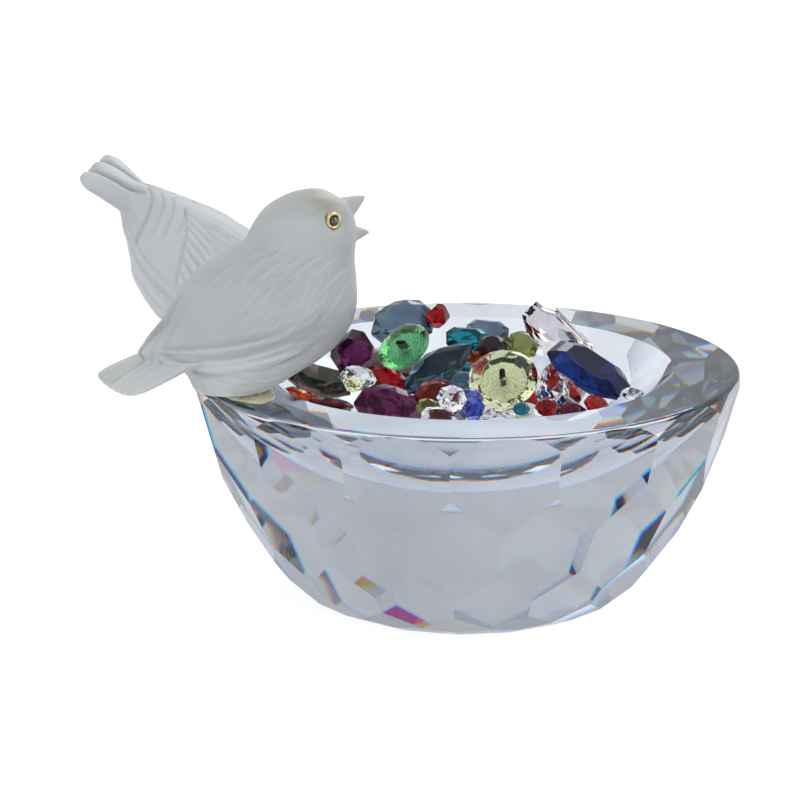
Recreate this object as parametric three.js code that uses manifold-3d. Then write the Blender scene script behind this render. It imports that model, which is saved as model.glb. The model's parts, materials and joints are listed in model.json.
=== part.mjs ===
// A glass figurine: a facet-cut crystal bowl with a shallow dished top, two frosted glass birds glued to
// its rim, and a heap of loose cut-glass stones in the dish.
// Millimetres, +Z up. The origin is the middle of the bowl's foot. The front is -Y, and +X is to the right.
import * as THREE from "three";
import { mergeVertices } from "three/addons/utils/BufferGeometryUtils.js";
import { ConvexGeometry } from "three/addons/geometries/ConvexGeometry.js";
import Module from "manifold-3d";

const wasm = await Module();
wasm.setup();

// ---------------------------------------------------------------- driving sizes
const bowlHeight = 42;
const bowlRadius = 48.6; // the round blank, before its facets are cut
const rimRound = 0.8; // polished outer edge of the rim
const rimWidth = 11.6; // flat top, from the blank's edge in to the dish
const dishDepth = 13.5;
const facetCount = 16; // facets in each row
const facetTurn = 8.4; // degrees from the front to the first facet of the top row
const glueThickness = 0.9;
const glueLength = 10.4; // across the rim
const glueWidth = 17; // along the rim
const eyeRingRadius = 1.5;
const eyeRingHole = 0.9;
const eyeRingHeight = 0.7;
const eyeSocketDepth = 0.75;
const eyeDome = 0.5; // how far the dark bead stands out of its ring
const eyeRingCrown = 0.18; // how far the ring's rounded front stands over its edges
const birdSize = 1; // scale of both birds
const stoneSize = 1; // scale of every loose stone

const gap = 0.12; // clearance between glued or set pieces
const stoneGap = 0.35; // height that a loose stone keeps over what it lies on
const cutMargin = 2; // how far a cutting body runs past what it cuts

// Facet rows from the rim down. lean is a facet's angle from upright, and inset is how far inside the
// blank it lies at that depth below the rim. Every second row is turned by half a facet.
const facetRows = [
  { lean: 15.5, inset: 0.2, depth: 0.5 },
  { lean: 27, inset: 6.1, depth: 19 },
  { lean: 37.5, inset: 9, depth: 26.6 },
  { lean: 50, inset: 14.2, depth: 35 },
  { lean: 66, inset: 19.2, depth: 39.6 },
];

const dishRadius = bowlRadius - rimWidth;
// The dish is part of a ball, whose centre is above the rim.
const dishBall = (dishRadius ** 2 + dishDepth ** 2) / (2 * dishDepth);
const dishCentre = bowlHeight - dishDepth + dishBall;
const perchRadius = bowlRadius - rimWidth / 2;
const seatHeight = bowlHeight + gap + glueThickness + gap;

// The birds' bodies as rows of [place along the body, low side, high side, half width].
// The singing bird is upright: its rows go up from its seat, and low and high are its back and its breast.
const singingBody = [
  [-1.5, -7, 4, 4.5],
  [0.8, -8, 6.5, 6.6],
  [2.8, -9.6, 9.6, 8],
  [4.8, -11.2, 12.8, 9.1],
  [7.4, -13.4, 16.6, 10],
  [9.8, -14.4, 19, 10.5],
  [12.6, -13.8, 20.4, 10.8],
  [15.8, -12, 20.9, 10.6],
  [18.8, -9.6, 20.6, 9.9],
  [21.6, -6.4, 20.1, 9.1],
  [23.7, -2.7, 19.7, 8.5],
  [25.4, 0, 19.6, 8.2],
  [28.1, 1.2, 19.6, 8.1],
  [31.2, 3.4, 18.6, 7.2],
  [33.6, 7.2, 16.2, 4.9],
  [34.9, 10.6, 13.6, 1.5],
];
// The drinking bird lies along its own axis, from the rump to the face: low and high are belly and back.
const drinkingBody = [
  [-21.8, 0.4, 3.6, 2.6],
  [-18, -2.2, 5, 5],
  [-14, -6.6, 6.3, 7.6],
  [-10, -10.5, 7.6, 9.4],
  [-5, -12.7, 9, 10.4],
  [0, -13.6, 9.7, 10.6],
  [5, -12.7, 9.6, 10.2],
  [9.5, -10.3, 8.9, 9.2],
  [13.5, -7.6, 8.4, 8.2],
  [17.5, -5.8, 8.1, 7.7],
  [21, -4.4, 6.6, 6.4],
  [23.2, -2.9, 4.6, 4.2],
  [24.3, -0.8, 2.9, 1.4],
];
// Beaks and tails are rows of [length, low side, high side, half width] as well.
const singingUpperBeak = [
  [12.5, 28.2, 32.6, 3],
  [17, 29.4, 33.2, 2.4],
  [19, 31, 33.6, 1.5],
  [20.6, 32.6, 34, 0.7],
  [21.3, 33.3, 33.9, 0.2],
];
const singingLowerBeak = [
  [13, 24.1, 28.7, 3],
  [18.6, 25.1, 28.7, 2.2],
  [20.4, 26.1, 28.3, 1.4],
  [22.2, 27, 28, 0.6],
  [22.9, 27.3, 27.6, 0.2],
];
const singingTail = [
  [-27.4, -0.9, 0.4, 5],
  [-26.2, -1.2, 0.7, 8.2],
  [-22.5, -1.6, 1.3, 9],
  [-14, -2.2, 1.9, 7],
  [-6, -2.6, 2.2, 5],
];
const drinkingBeak = [
  [18, -1.8, 5, 3.4],
  [24, -1.6, 2.9, 2.2],
  [27, -1.4, 0.9, 1],
  [29.4, -1.2, -0.6, 0.25],
];
const drinkingTail = [
  [-29, -0.3, 1.4, 5.6],
  [-28.2, -0.9, 2.2, 7.6],
  [-24, -1.3, 2.9, 6.8],
  [-19, -1.7, 3.4, 5.2],
  [-13, -2, 4, 4],
];
const birds = {
  singing: {
    around: -62, // degrees round the rim from the front, towards the left
    yaw: 27, // degrees from +X to where it faces, towards the back
    pitch: 6, // degrees that it leans forward
    roll: 0, // degrees that it leans to its right
    back: 1.8, // how far its own origin is behind the middle of the rim
    lift: 0,
    upright: true,
    body: singingBody,
    beaks: [singingUpperBeak, singingLowerBeak],
    tail: { rows: singingTail, place: [1.5, 0, 11.8], droop: 24 },
    wing: { place: [-2, 5.2, 12], half: [16, 5.4, 6.8], droop: 15, toe: 17 },
    eye: { rise: 30.8, around: 80 },
  },
  drinking: {
    around: -117,
    yaw: -12,
    pitch: 37,
    roll: 10,
    back: 7.9,
    lift: 11.3,
    upright: false,
    body: drinkingBody,
    beaks: [drinkingBeak],
    tail: { rows: drinkingTail, place: [0, 0, 0.4], droop: 0 },
    wing: { place: [-4, 6, -0.6], half: [15, 4.8, 6.2], droop: -4, toe: 12 },
    eye: { rise: 19, around: 64 },
  },
};

// ---------------------------------------------------------------- solids and meshes
const radians = THREE.MathUtils.degToRad;

function solidOf(geometry) {
  const bare = geometry.clone();
  bare.deleteAttribute("normal");
  bare.deleteAttribute("uv");
  const merged = mergeVertices(bare, 1e-4);
  const corners = merged.index.array;
  const kept = [];
  for (let i = 0; i < corners.length; i += 3) {
    const [a, b, c] = corners.slice(i, i + 3);
    if (a !== b && b !== c && c !== a) kept.push(a, b, c);
  }
  const vertProperties = merged.attributes.position.array;
  return new wasm.Manifold(new wasm.Mesh({ numProp: 3, vertProperties, triVerts: new Uint32Array(kept) }));
}

function geometryOf(solid) {
  const { vertProperties, triVerts } = solid.getMesh();
  const geometry = new THREE.BufferGeometry();
  geometry.setAttribute("position", new THREE.BufferAttribute(vertProperties, 3));
  geometry.setIndex(new THREE.BufferAttribute(triVerts, 1));
  geometry.computeVertexNormals();
  return geometry;
}

function finish(color, roughness, metalness = 0, opacity = 1) {
  return new THREE.MeshStandardMaterial({
    color,
    roughness,
    metalness,
    opacity,
    transparent: opacity < 1,
    flatShading: true,
  });
}

function meshOf(name, solid, material) {
  const mesh = new THREE.Mesh(geometryOf(solid), material);
  mesh.name = name;
  return mesh;
}

// A body turned about Z. Its profile is [radius, height] from the axis round to the axis, going up.
function turned(profile, segments, turn = 0) {
  const points = profile.map(([radius, height]) => new THREE.Vector2(radius, height));
  const geometry = new THREE.LatheGeometry(points, segments, turn);
  geometry.rotateX(Math.PI / 2);
  return geometry;
}

// ---------------------------------------------------------------- the bowl
function bowlBlank() {
  const profile = [
    [0, 0],
    [bowlRadius, 0],
  ];
  const steps = 3;
  for (let i = 0; i <= steps; i++) {
    const angle = (i / steps) * (Math.PI / 2);
    profile.push([
      bowlRadius - rimRound * (1 - Math.cos(angle)),
      bowlHeight - rimRound * (1 - Math.sin(angle)),
    ]);
  }
  profile.push([0, bowlHeight]);
  return solidOf(turned(profile, 96));
}

// One row of facets, as the many-sided cone that its planes bound.
function facetRow({ lean, inset, depth }, row) {
  const slope = Math.tan(radians(lean));
  const corner = 1 / Math.cos(Math.PI / facetCount);
  const bottom = -gap;
  const top = bowlHeight + cutMargin;
  const radiusAt = (height) => (bowlRadius - inset - (bowlHeight - height - depth) * slope) * corner;
  const halfFacets = row % 2 === 0 ? -1 : 0;
  const turn = radians(facetTurn) + (halfFacets * Math.PI) / facetCount;
  const profile = [
    [0, bottom],
    [radiusAt(bottom), bottom],
    [radiusAt(top), top],
    [0, top],
  ];
  return solidOf(turned(profile, facetCount, turn));
}

function dish() {
  const sweep = Math.asin(dishRadius / dishBall);
  const steps = 10;
  const profile = [];
  for (let i = 0; i <= steps; i++) {
    const angle = (i / steps) * sweep;
    profile.push([dishBall * Math.sin(angle), dishCentre - dishBall * Math.cos(angle)]);
  }
  profile.push([dishRadius, bowlHeight + cutMargin], [0, bowlHeight + cutMargin]);
  return solidOf(turned(profile, 64));
}

function bowl() {
  let solid = bowlBlank();
  facetRows.forEach((row, index) => {
    solid = solid.intersect(facetRow(row, index));
  });
  return meshOf("bowl", solid.subtract(dish()), finish(0xd8dee8, 0.03, 0, 0.35));
}

// ---------------------------------------------------------------- the birds
// A closed skin over oval sections that run smoothly through the given rows.
function skin(rows, sections, sides, upright = false) {
  const places = rows.map((_, index) => index);
  const track = new THREE.CubicInterpolant(places, rows.flat(), 4, new Float32Array(4));
  const positions = [];
  const put = (along, across, side) => {
    if (upright) positions.push(across, -side, along);
    else positions.push(along, side, across);
  };
  const rowAt = (share) => track.evaluate(share * (rows.length - 1));
  for (let i = 0; i <= sections; i++) {
    const [along, low, high, half] = rowAt(i / sections);
    for (let k = 0; k < sides; k++) {
      const angle = (k / sides) * 2 * Math.PI;
      const across = (low + high) / 2 - ((high - low) / 2) * Math.cos(angle);
      put(along, across, half * Math.sin(angle));
    }
  }
  for (const share of [0, 1]) {
    const [along, low, high] = rowAt(share);
    put(along, (low + high) / 2, 0);
  }
  const first = (sections + 1) * sides;
  const index = [];
  for (let k = 0; k < sides; k++) {
    const next = (k + 1) % sides;
    for (let i = 0; i < sections; i++) {
      const [a, b, c, d] = [i * sides + k, i * sides + next, (i + 1) * sides + k, (i + 1) * sides + next];
      index.push(a, b, c, b, d, c);
    }
    const last = sections * sides;
    index.push(first, next, k, first + 1, last + k, last + next);
  }
  const geometry = new THREE.BufferGeometry();
  geometry.setAttribute("position", new THREE.Float32BufferAttribute(positions, 3));
  geometry.setIndex(index);
  return geometry;
}

function tailOf({ rows, place, droop }) {
  const geometry = skin(rows, 8, 16);
  geometry.rotateY(radians(-droop));
  geometry.translate(...place);
  return solidOf(geometry);
}

function wingOf({ place, half, droop, toe }, side) {
  const geometry = new THREE.SphereGeometry(1, 18, 12);
  geometry.scale(...half);
  geometry.rotateY(radians(-droop));
  geometry.rotateZ(radians(side * toe)); // the two wing tips come together over the tail
  geometry.translate(place[0], side * place[1], place[2]);
  return solidOf(geometry);
}

// Where an eye sits on the head, as a matrix whose Z looks straight out of the head.
function eyePlace({ body, upright, eye }, side) {
  const after = body.findIndex((row) => row[0] > eye.rise);
  const [lower, upper] = [body[after - 1], body[after]];
  const share = (eye.rise - lower[0]) / (upper[0] - lower[0]);
  const [, low, high, half] = lower.map((value, i) => THREE.MathUtils.lerp(value, upper[i], share));
  const reach = (high - low) / 2;
  const angle = radians(eye.around);
  const forward = (low + high) / 2 + reach * Math.cos(angle);
  const outward = new THREE.Vector3(half * Math.cos(angle), side * reach * Math.sin(angle), 0);
  const place = new THREE.Vector3(forward, side * half * Math.sin(angle), eye.rise);
  if (!upright) {
    place.set(eye.rise, side * half * Math.sin(angle), forward);
    outward.set(0, outward.y, outward.x);
  }
  const facing = new THREE.Quaternion().setFromUnitVectors(new THREE.Vector3(0, 0, 1), outward.normalize());
  return new THREE.Matrix4().compose(place, facing, new THREE.Vector3(1, 1, 1));
}

// The round pocket that an eye ring is set in, closely fitted.
function eyeSocket(bird, side) {
  const radius = eyeRingRadius + gap;
  const profile = [
    [0, -eyeSocketDepth],
    [radius, -eyeSocketDepth],
    [radius, cutMargin],
    [0, cutMargin],
  ];
  return solidOf(turned(profile, 20).applyMatrix4(eyePlace(bird, side)));
}

function eyeRing() {
  const base = gap - eyeSocketDepth;
  const top = base + eyeRingHeight;
  const middle = (eyeRingHole + eyeRingRadius) / 2;
  const profile = [
    [eyeRingHole, base],
    [eyeRingRadius, base],
    [eyeRingRadius, top],
    [middle, top + eyeRingCrown],
    [eyeRingHole, top],
    [eyeRingHole, base],
  ];
  return solidOf(turned(profile, 20));
}

function eyeBead() {
  const radius = eyeRingHole - gap;
  const base = gap - eyeSocketDepth;
  const shoulder = base + eyeRingHeight;
  const profile = [
    [0, base],
    [radius, base],
  ];
  const steps = 4;
  for (let i = 0; i <= steps; i++) {
    const angle = (i / steps) * (Math.PI / 2);
    profile.push([radius * Math.cos(angle), shoulder + eyeDome * Math.sin(angle)]);
  }
  return solidOf(turned(profile, 16));
}

// Where a bird's own origin is: over the middle of the rim's flat top.
function perchOf({ around, yaw, pitch, roll, back, lift }) {
  const perch = new THREE.Group();
  const angle = radians(around);
  perch.position.set(perchRadius * Math.sin(angle), -perchRadius * Math.cos(angle), seatHeight);
  perch.position.x -= birdSize * back * Math.cos(radians(yaw));
  perch.position.y -= birdSize * back * Math.sin(radians(yaw));
  perch.position.z += birdSize * lift;
  perch.rotation.set(radians(roll), radians(pitch), radians(yaw), "ZYX");
  perch.scale.setScalar(birdSize);
  perch.updateMatrix();
  return perch;
}

// Everything under the level at which a bird is glued down, as a block in the bird's own frame.
function underSeat(perch) {
  const side = 4 * perchRadius;
  const geometry = new THREE.BoxGeometry(side, side, side);
  geometry.translate(0, 0, seatHeight - side / 2);
  return solidOf(geometry.applyMatrix4(perch.matrix.clone().invert()));
}

function birdSolid(bird, perch) {
  let solid = solidOf(skin(bird.body, 26, 28, bird.upright));
  for (const beak of bird.beaks) solid = solid.add(solidOf(skin(beak, 6, 12)));
  // The part of the tail under the seat's level hangs outside the rim, so only the body is cut flat.
  solid = solid.subtract(underSeat(perch));
  solid = solid.add(tailOf(bird.tail));
  for (const side of [-1, 1]) {
    solid = solid.add(wingOf(bird.wing, side));
    solid = solid.subtract(eyeSocket(bird, side));
  }
  return solid;
}

function birdGroup(name, bird) {
  const perch = perchOf(bird);
  perch.add(meshOf(name + "_bird", birdSolid(bird, perch), finish(0xd3d8da, 0.45, 0, 0.9)));
  const sides = { right: -1, left: 1 };
  for (const [word, side] of Object.entries(sides)) {
    const ring = meshOf(name + "_eye_ring_" + word, eyeRing(), finish(0xc9a548, 0.25, 1));
    const bead = meshOf(name + "_eye_bead_" + word, eyeBead(), finish(0x1c1712, 0.05));
    for (const piece of [ring, bead]) {
      piece.applyMatrix4(eyePlace(bird, side));
      perch.add(piece);
    }
  }
  return perch;
}

// The film of clear glue between the rim and a bird, an oval that follows the rim.
function glue(name, { around }) {
  const outline = new THREE.Shape();
  outline.absellipse(0, 0, glueLength / 2, glueWidth / 2, 0, 2 * Math.PI, false, 0);
  const options = { depth: glueThickness, bevelEnabled: false, curveSegments: 14 };
  const film = solidOf(new THREE.ExtrudeGeometry(outline, options));
  const mesh = meshOf(name, film, finish(0xe0dcc0, 0.3, 0, 0.6));
  const angle = radians(around);
  mesh.position.set(perchRadius * Math.sin(angle), -perchRadius * Math.cos(angle), bowlHeight + gap);
  mesh.rotation.z = angle - Math.PI / 2;
  return mesh;
}

// ---------------------------------------------------------------- the loose stones
const octagonSide = 0.62; // straight part of an octagon's long sides, as a share of its length
const octagonEnd = 0.5; // straight part of its ends, as a share of its width

// A cut stone's outline, as its half length and half width at a turn t from 0 to 1.
const outlines = {
  round: (t) => [Math.cos(2 * Math.PI * t), Math.sin(2 * Math.PI * t)],
  // A navette comes to a point at both ends.
  navette: (t) => {
    const side = Math.sin(2 * Math.PI * t);
    return [Math.cos(2 * Math.PI * t), side * Math.abs(side)];
  },
  // A pear comes to a point at one end.
  pear: (t) => [Math.cos(2 * Math.PI * t), Math.sin(2 * Math.PI * t) * Math.sin(Math.PI * t) ** 0.8],
  // An octagon is a rectangle with its corners cut off.
  octagon: (t) => {
    const corner = Math.round(t * 8) % 8;
    const atEnd = [0, 3, 4, 7].includes(corner);
    const long = atEnd ? 1 : octagonSide;
    const wide = atEnd ? octagonEnd : 1;
    return [corner > 1 && corner < 6 ? -long : long, corner > 3 ? -wide : wide];
  },
};
// How each cut steps up to its table and down to its point: [share of the outline, share of the height]
// above and below the girdle. A brilliant's facets turn by half a facet from one step to the next.
const cuts = {
  brilliant: { up: [[0.84, 0.19], [0.56, 0.3]], down: [[0.5, -0.42], [0.04, -0.62]], turning: true },
  step: { up: [[0.84, 0.2], [0.62, 0.32]], down: [[0.72, -0.32], [0.16, -0.62]], turning: false },
  bead: { up: [[0.45, 0.46]], down: [[0.45, -0.46]], turning: false },
  button: { up: [[0.6, 0.42]], down: [[0.62, -0.42]], turning: false },
};
const girdle = 0.06; // half the girdle's height, as a share of the stone's
const buttonHole = 0.11; // half width of a button stone's hole, as a share of its length

function stonePoints({ outline, cut, sides, size }) {
  const [length, width, height] = size.map((value) => value * stoneSize);
  const { up, down, turning } = cuts[cut];
  const ring = (share, level, turn) =>
    Array.from({ length: sides }, (_, k) => {
      const [x, y] = outlines[outline](((k + turn) / sides) % 1);
      return new THREE.Vector3((share * x * length) / 2, (share * y * width) / 2, level * height);
    });
  const points = [...ring(1, girdle, 0), ...ring(1, -girdle, 0)];
  for (const steps of [up, down]) {
    steps.forEach(([share, level], index) => {
      points.push(...ring(share, level, turning && index % 2 === 0 ? 0.5 : 0));
    });
  }
  return points;
}

function pointsOf(attribute) {
  const point = (_, i) => new THREE.Vector3().fromBufferAttribute(attribute, i);
  return Array.from({ length: attribute.count }, point);
}

// A convex solid's corners, edges and outward planes, which is what the dropping of the stones needs.
function convexOf(points) {
  const geometry = mergeVertices(bareHull(points), 1e-4);
  const place = geometry.attributes.position;
  const corners = pointsOf(place);
  const edges = [];
  const planes = [];
  for (let i = 0; i < geometry.index.count; i += 3) {
    const [a, b, c] = geometry.index.array.slice(i, i + 3);
    for (const [from, to] of [[a, b], [b, c], [c, a]]) {
      if (from < to) edges.push([corners[from], corners[to]]);
    }
    const plane = new THREE.Plane().setFromCoplanarPoints(corners[a], corners[b], corners[c]);
    if (plane.normal.lengthSq() > 0.5) planes.push(plane);
  }
  const box = new THREE.Box3().setFromPoints(corners);
  return { corners, edges, planes, box };
}

function bareHull(points) {
  const geometry = new ConvexGeometry(points);
  geometry.deleteAttribute("normal");
  return geometry;
}

// The heights at which an upright line through x, y enters and leaves a convex solid, or null.
function span(convex, x, y) {
  let low = -Infinity;
  let high = Infinity;
  for (const { normal, constant } of convex.planes) {
    const rest = -(constant + normal.x * x + normal.y * y);
    if (normal.z > 1e-6) high = Math.min(high, rest / normal.z);
    else if (normal.z < -1e-6) low = Math.max(low, rest / normal.z);
    else if (rest < 0) return null;
  }
  return low <= high ? [low, high] : null;
}

// How far upper can fall before it meets lower, where both are convex.
function clearAbove(upper, lower) {
  const [a, b] = [upper.box, lower.box];
  if (a.min.x > b.max.x || a.max.x < b.min.x || a.min.y > b.max.y || a.max.y < b.min.y) return Infinity;
  let least = Infinity;
  for (const { x, y, z } of upper.corners) {
    const hit = span(lower, x, y);
    if (hit) least = Math.min(least, z - hit[1]);
  }
  for (const { x, y, z } of lower.corners) {
    const hit = span(upper, x, y);
    if (hit) least = Math.min(least, hit[0] - z);
  }
  for (const [p, q] of upper.edges) {
    for (const [r, s] of lower.edges) {
      const cross = (q.x - p.x) * (s.y - r.y) - (q.y - p.y) * (s.x - r.x);
      if (Math.abs(cross) < 1e-9) continue;
      const t = ((r.x - p.x) * (s.y - r.y) - (r.y - p.y) * (s.x - r.x)) / cross;
      const u = ((r.x - p.x) * (q.y - p.y) - (r.y - p.y) * (q.x - p.x)) / cross;
      if (t < 0 || t > 1 || u < 0 || u > 1) continue;
      least = Math.min(least, p.z + t * (q.z - p.z) - (r.z + u * (s.z - r.z)));
    }
  }
  return least;
}

// How far a convex solid can fall before it meets the dish or the flat of the rim.
function clearOfDish({ corners }) {
  let least = Infinity;
  for (const { x, y, z } of corners) {
    const out = Math.hypot(x, y);
    const floor = out < dishRadius ? dishCentre - Math.sqrt(dishBall ** 2 - out ** 2) : bowlHeight;
    least = Math.min(least, z - floor);
  }
  return least;
}

function raised(convex, by) {
  const up = new THREE.Vector3(0, 0, by);
  const corners = convex.corners.map((corner) => corner.clone().add(up));
  const find = new Map(convex.corners.map((corner, i) => [corner, corners[i]]));
  const edges = convex.edges.map(([from, to]) => [find.get(from), find.get(to)]);
  const planes = convex.planes.map((plane) => plane.clone().translate(up));
  return { corners, edges, planes, box: convex.box.clone().translate(up) };
}

// Stones are dropped straight down in the order of the list. at is a place in the dish, as shares of the
// dish's radius to the right and to the back. lean is the angle of the table from level, towards the
// direction toward, in degrees from the front to the right, and spin turns the stone on its own axis.
const stoneList = [
  { name: "deep_round_slate", outline: "round", cut: "brilliant", sides: 8, size: [16, 16, 10.5],
    at: [0.03, 0.16], lean: 6, toward: 40, spin: 20, tint: "slate" },
  { name: "deep_octagon_siam", outline: "octagon", cut: "step", sides: 8, size: [16, 12, 7.8],
    at: [0.42, 0.05], lean: 10, toward: 260, spin: 80, tint: "siam" },
  { name: "deep_round_smoke", outline: "round", cut: "brilliant", sides: 8, size: [14, 14, 11],
    at: [-0.35, 0.24], lean: 10, toward: 130, spin: 0, tint: "smoke" },
  { name: "deep_oval_amethyst", outline: "round", cut: "brilliant", sides: 8, size: [15, 11, 8],
    at: [-0.27, -0.22], lean: 10, toward: 60, spin: 30, tint: "amethyst" },
  { name: "deep_octagon_jonquil", outline: "octagon", cut: "step", sides: 8, size: [14, 10, 7.5],
    at: [0.14, -0.31], lean: 8, toward: 0, spin: 80, tint: "jonquil" },
  { name: "deep_octagon_sapphire", outline: "octagon", cut: "step", sides: 8, size: [11, 9, 6],
    at: [0.43, -0.35], lean: 14, toward: 300, spin: 110, tint: "sapphire" },
  { name: "deep_pear_emerald", outline: "pear", cut: "brilliant", sides: 8, size: [13, 9, 3.6],
    at: [-0.65, -0.19], lean: 16, toward: 100, spin: 110, tint: "emerald" },
  { name: "deep_navette_garnet", outline: "navette", cut: "brilliant", sides: 8, size: [14, 8, 4.6],
    at: [-0.19, -0.65], lean: 14, toward: 0, spin: 5, tint: "garnet" },
  { name: "deep_octagon_clear", outline: "octagon", cut: "step", sides: 8, size: [12, 8, 4.6],
    at: [0.22, -0.68], lean: 14, toward: 0, spin: 0, tint: "clear" },
  { name: "deep_oval_clear", outline: "round", cut: "brilliant", sides: 8, size: [12, 10, 10.5],
    at: [0.32, 0.38], lean: 10, toward: 200, spin: 60, tint: "clear" },
  { name: "deep_round_teal", outline: "round", cut: "brilliant", sides: 8, size: [12, 12, 3.6],
    at: [0.03, 0.18], lean: 4, toward: 0, spin: 0, tint: "teal" },
  { name: "grey_octagon", outline: "octagon", cut: "step", sides: 8, size: [7.6, 5.5, 4],
    at: [0.11, 0.34], lean: 35, toward: 10, spin: 0, tint: "steel" },
  { name: "olive_round", outline: "round", cut: "brilliant", sides: 8, size: [6, 6, 4],
    at: [0.28, 0.25], lean: 42, toward: 20, spin: 10, tint: "olive" },
  { name: "steel_round", outline: "round", cut: "brilliant", sides: 8, size: [12.2, 10.6, 6.6],
    at: [-0.30, 0.38], lean: 38, toward: -12, spin: 15, tint: "steel" },
  { name: "teal_octagon", outline: "octagon", cut: "step", sides: 8, size: [7.5, 4.6, 3.6],
    at: [0.01, 0.19], lean: 44, toward: 10, spin: 4, tint: "teal" },
  { name: "red_bead", outline: "round", cut: "bead", sides: 6, size: [4.3, 4.3, 4.6],
    at: [-0.13, 0.30], lean: 25, toward: 30, spin: 10, tint: "siam" },
  { name: "olive_bead", outline: "round", cut: "bead", sides: 6, size: [3.2, 3.2, 3.6],
    at: [0.19, 0.18], lean: 20, toward: 0, spin: 0, tint: "olive" },
  { name: "clear_long_octagon", outline: "octagon", cut: "step", sides: 8, size: [16, 7, 5.5],
    at: [0.46, 0.14], lean: 62, toward: 6, spin: -42, tint: "rose" },
  { name: "jet_round", outline: "round", cut: "brilliant", sides: 8, size: [5.5, 5.5, 4],
    at: [0.13, 0.08], lean: 30, toward: 0, spin: 0, tint: "jet" },
  { name: "smoke_octagon", outline: "octagon", cut: "step", sides: 8, size: [11.5, 7, 4.8],
    at: [-0.68, -0.28], lean: 22, toward: 30, spin: -8, tint: "smoke" },
  { name: "green_pear", outline: "pear", cut: "brilliant", sides: 8, size: [7, 5, 3.4],
    at: [-0.68, -0.01], lean: 48, toward: 20, spin: 30, tint: "emerald" },
  { name: "amethyst_cushion", outline: "octagon", cut: "bead", sides: 8, size: [7.5, 7, 5.2],
    at: [-0.54, 0.03], lean: 62, toward: -25, spin: 20, tint: "amethyst" },
  { name: "siam_navette", outline: "navette", cut: "brilliant", sides: 8, size: [10.5, 6.5, 5.2],
    at: [-0.39, -0.09], lean: 42, toward: 10, spin: -6, tint: "siam" },
  { name: "orange_bead", outline: "round", cut: "bead", sides: 6, size: [2.8, 2.8, 3],
    at: [0.05, 0.01], lean: 20, toward: 0, spin: 20, tint: "hyacinth" },
  { name: "rose_pear", outline: "pear", cut: "brilliant", sides: 8, size: [9.5, 8, 4.6],
    at: [0.41, -0.39], lean: 48, toward: 15, spin: 95, tint: "rose" },
  { name: "garnet_octagon", outline: "octagon", cut: "step", sides: 8, size: [7.5, 5.5, 2.8],
    at: [-0.62, -0.59], lean: 15, toward: 150, spin: 10, tint: "garnet" },
  { name: "hyacinth_octagon", outline: "octagon", cut: "step", sides: 8, size: [6.4, 4.4, 2.2],
    at: [-0.76, -0.51], lean: 22, toward: 124, spin: 60, tint: "hyacinth" },
  { name: "clear_oval", outline: "round", cut: "brilliant", sides: 8, size: [6.5, 5.6, 4],
    at: [-0.50, -0.34], lean: 34, toward: 20, spin: 0, tint: "clear" },
  { name: "jonquil_chaton", outline: "round", cut: "brilliant", sides: 8, size: [3.4, 3.4, 2.6],
    at: [-0.52, -0.44], lean: 40, toward: 0, spin: 0, tint: "jonquil" },
  { name: "plum_oval", outline: "round", cut: "brilliant", sides: 8, size: [10.5, 8.5, 5],
    at: [-0.37, -0.70], lean: 40, toward: 5, spin: 0, tint: "plum" },
  { name: "olive_chaton", outline: "round", cut: "brilliant", sides: 8, size: [4.2, 4.2, 3],
    at: [-0.17, -0.69], lean: 35, toward: 10, spin: 0, tint: "olive" },
  { name: "clear_octagon", outline: "octagon", cut: "step", sides: 8, size: [5.8, 4.4, 3],
    at: [-0.12, -0.80], lean: 48, toward: 20, spin: 15, tint: "clear" },
  { name: "blue_round", outline: "round", cut: "brilliant", sides: 8, size: [5, 5, 2.8],
    at: [0.02, -0.59], lean: 30, toward: 0, spin: 0, tint: "blue" },
  { name: "clear_chaton", outline: "round", cut: "brilliant", sides: 8, size: [5.2, 5.2, 3.2],
    at: [-0.06, -0.67], lean: 50, toward: 5, spin: 0, tint: "clear" },
  { name: "clear_blue_bead", outline: "round", cut: "bead", sides: 6, size: [4.2, 4.2, 4.4],
    at: [0.04, -0.75], lean: 25, toward: 0, spin: 15, tint: "blue" },
  { name: "clear_lens", outline: "round", cut: "brilliant", sides: 8, size: [7.2, 4.6, 2.6],
    at: [0.16, -0.83], lean: 20, toward: 0, spin: 0, tint: "clear" },
  { name: "teal_chaton", outline: "round", cut: "brilliant", sides: 8, size: [3, 3, 2.2],
    at: [0.26, -0.83], lean: 30, toward: 0, spin: 0, tint: "teal" },
  { name: "red_chaton_left", outline: "round", cut: "brilliant", sides: 8, size: [4, 4, 3],
    at: [0.38, -0.73], lean: 35, toward: 10, spin: 0, tint: "siam" },
  { name: "red_chaton_middle", outline: "round", cut: "brilliant", sides: 8, size: [4.2, 4.2, 3],
    at: [0.49, -0.68], lean: 35, toward: 20, spin: 0, tint: "garnet" },
  { name: "red_chaton_right", outline: "round", cut: "brilliant", sides: 8, size: [4.4, 4.4, 3],
    at: [0.61, -0.60], lean: 30, toward: 30, spin: 0, tint: "siam" },
  { name: "slate_navette", outline: "navette", cut: "brilliant", sides: 8, size: [15.5, 7.6, 5],
    at: [-0.13, -0.12], lean: 44, toward: -16, spin: 30, tint: "slate" },
  { name: "siam_round", outline: "round", cut: "brilliant", sides: 8, size: [9, 8, 5.6],
    at: [-0.12, -0.32], lean: 34, toward: 10, spin: 0, tint: "siam" },
  { name: "lime_button", outline: "round", cut: "button", sides: 12, size: [9.8, 9.8, 3.2],
    at: [-0.29, -0.05], lean: 44, toward: -39, spin: 0, tint: "lime" },
  { name: "jonquil_button", outline: "round", cut: "button", sides: 12, size: [12.2, 12.2, 3.6],
    at: [0.18, -0.39], lean: 42, toward: -9, spin: 0, tint: "jonquil" },
  { name: "sapphire_octagon", outline: "octagon", cut: "step", sides: 8, size: [14.8, 9.4, 5.6],
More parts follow.
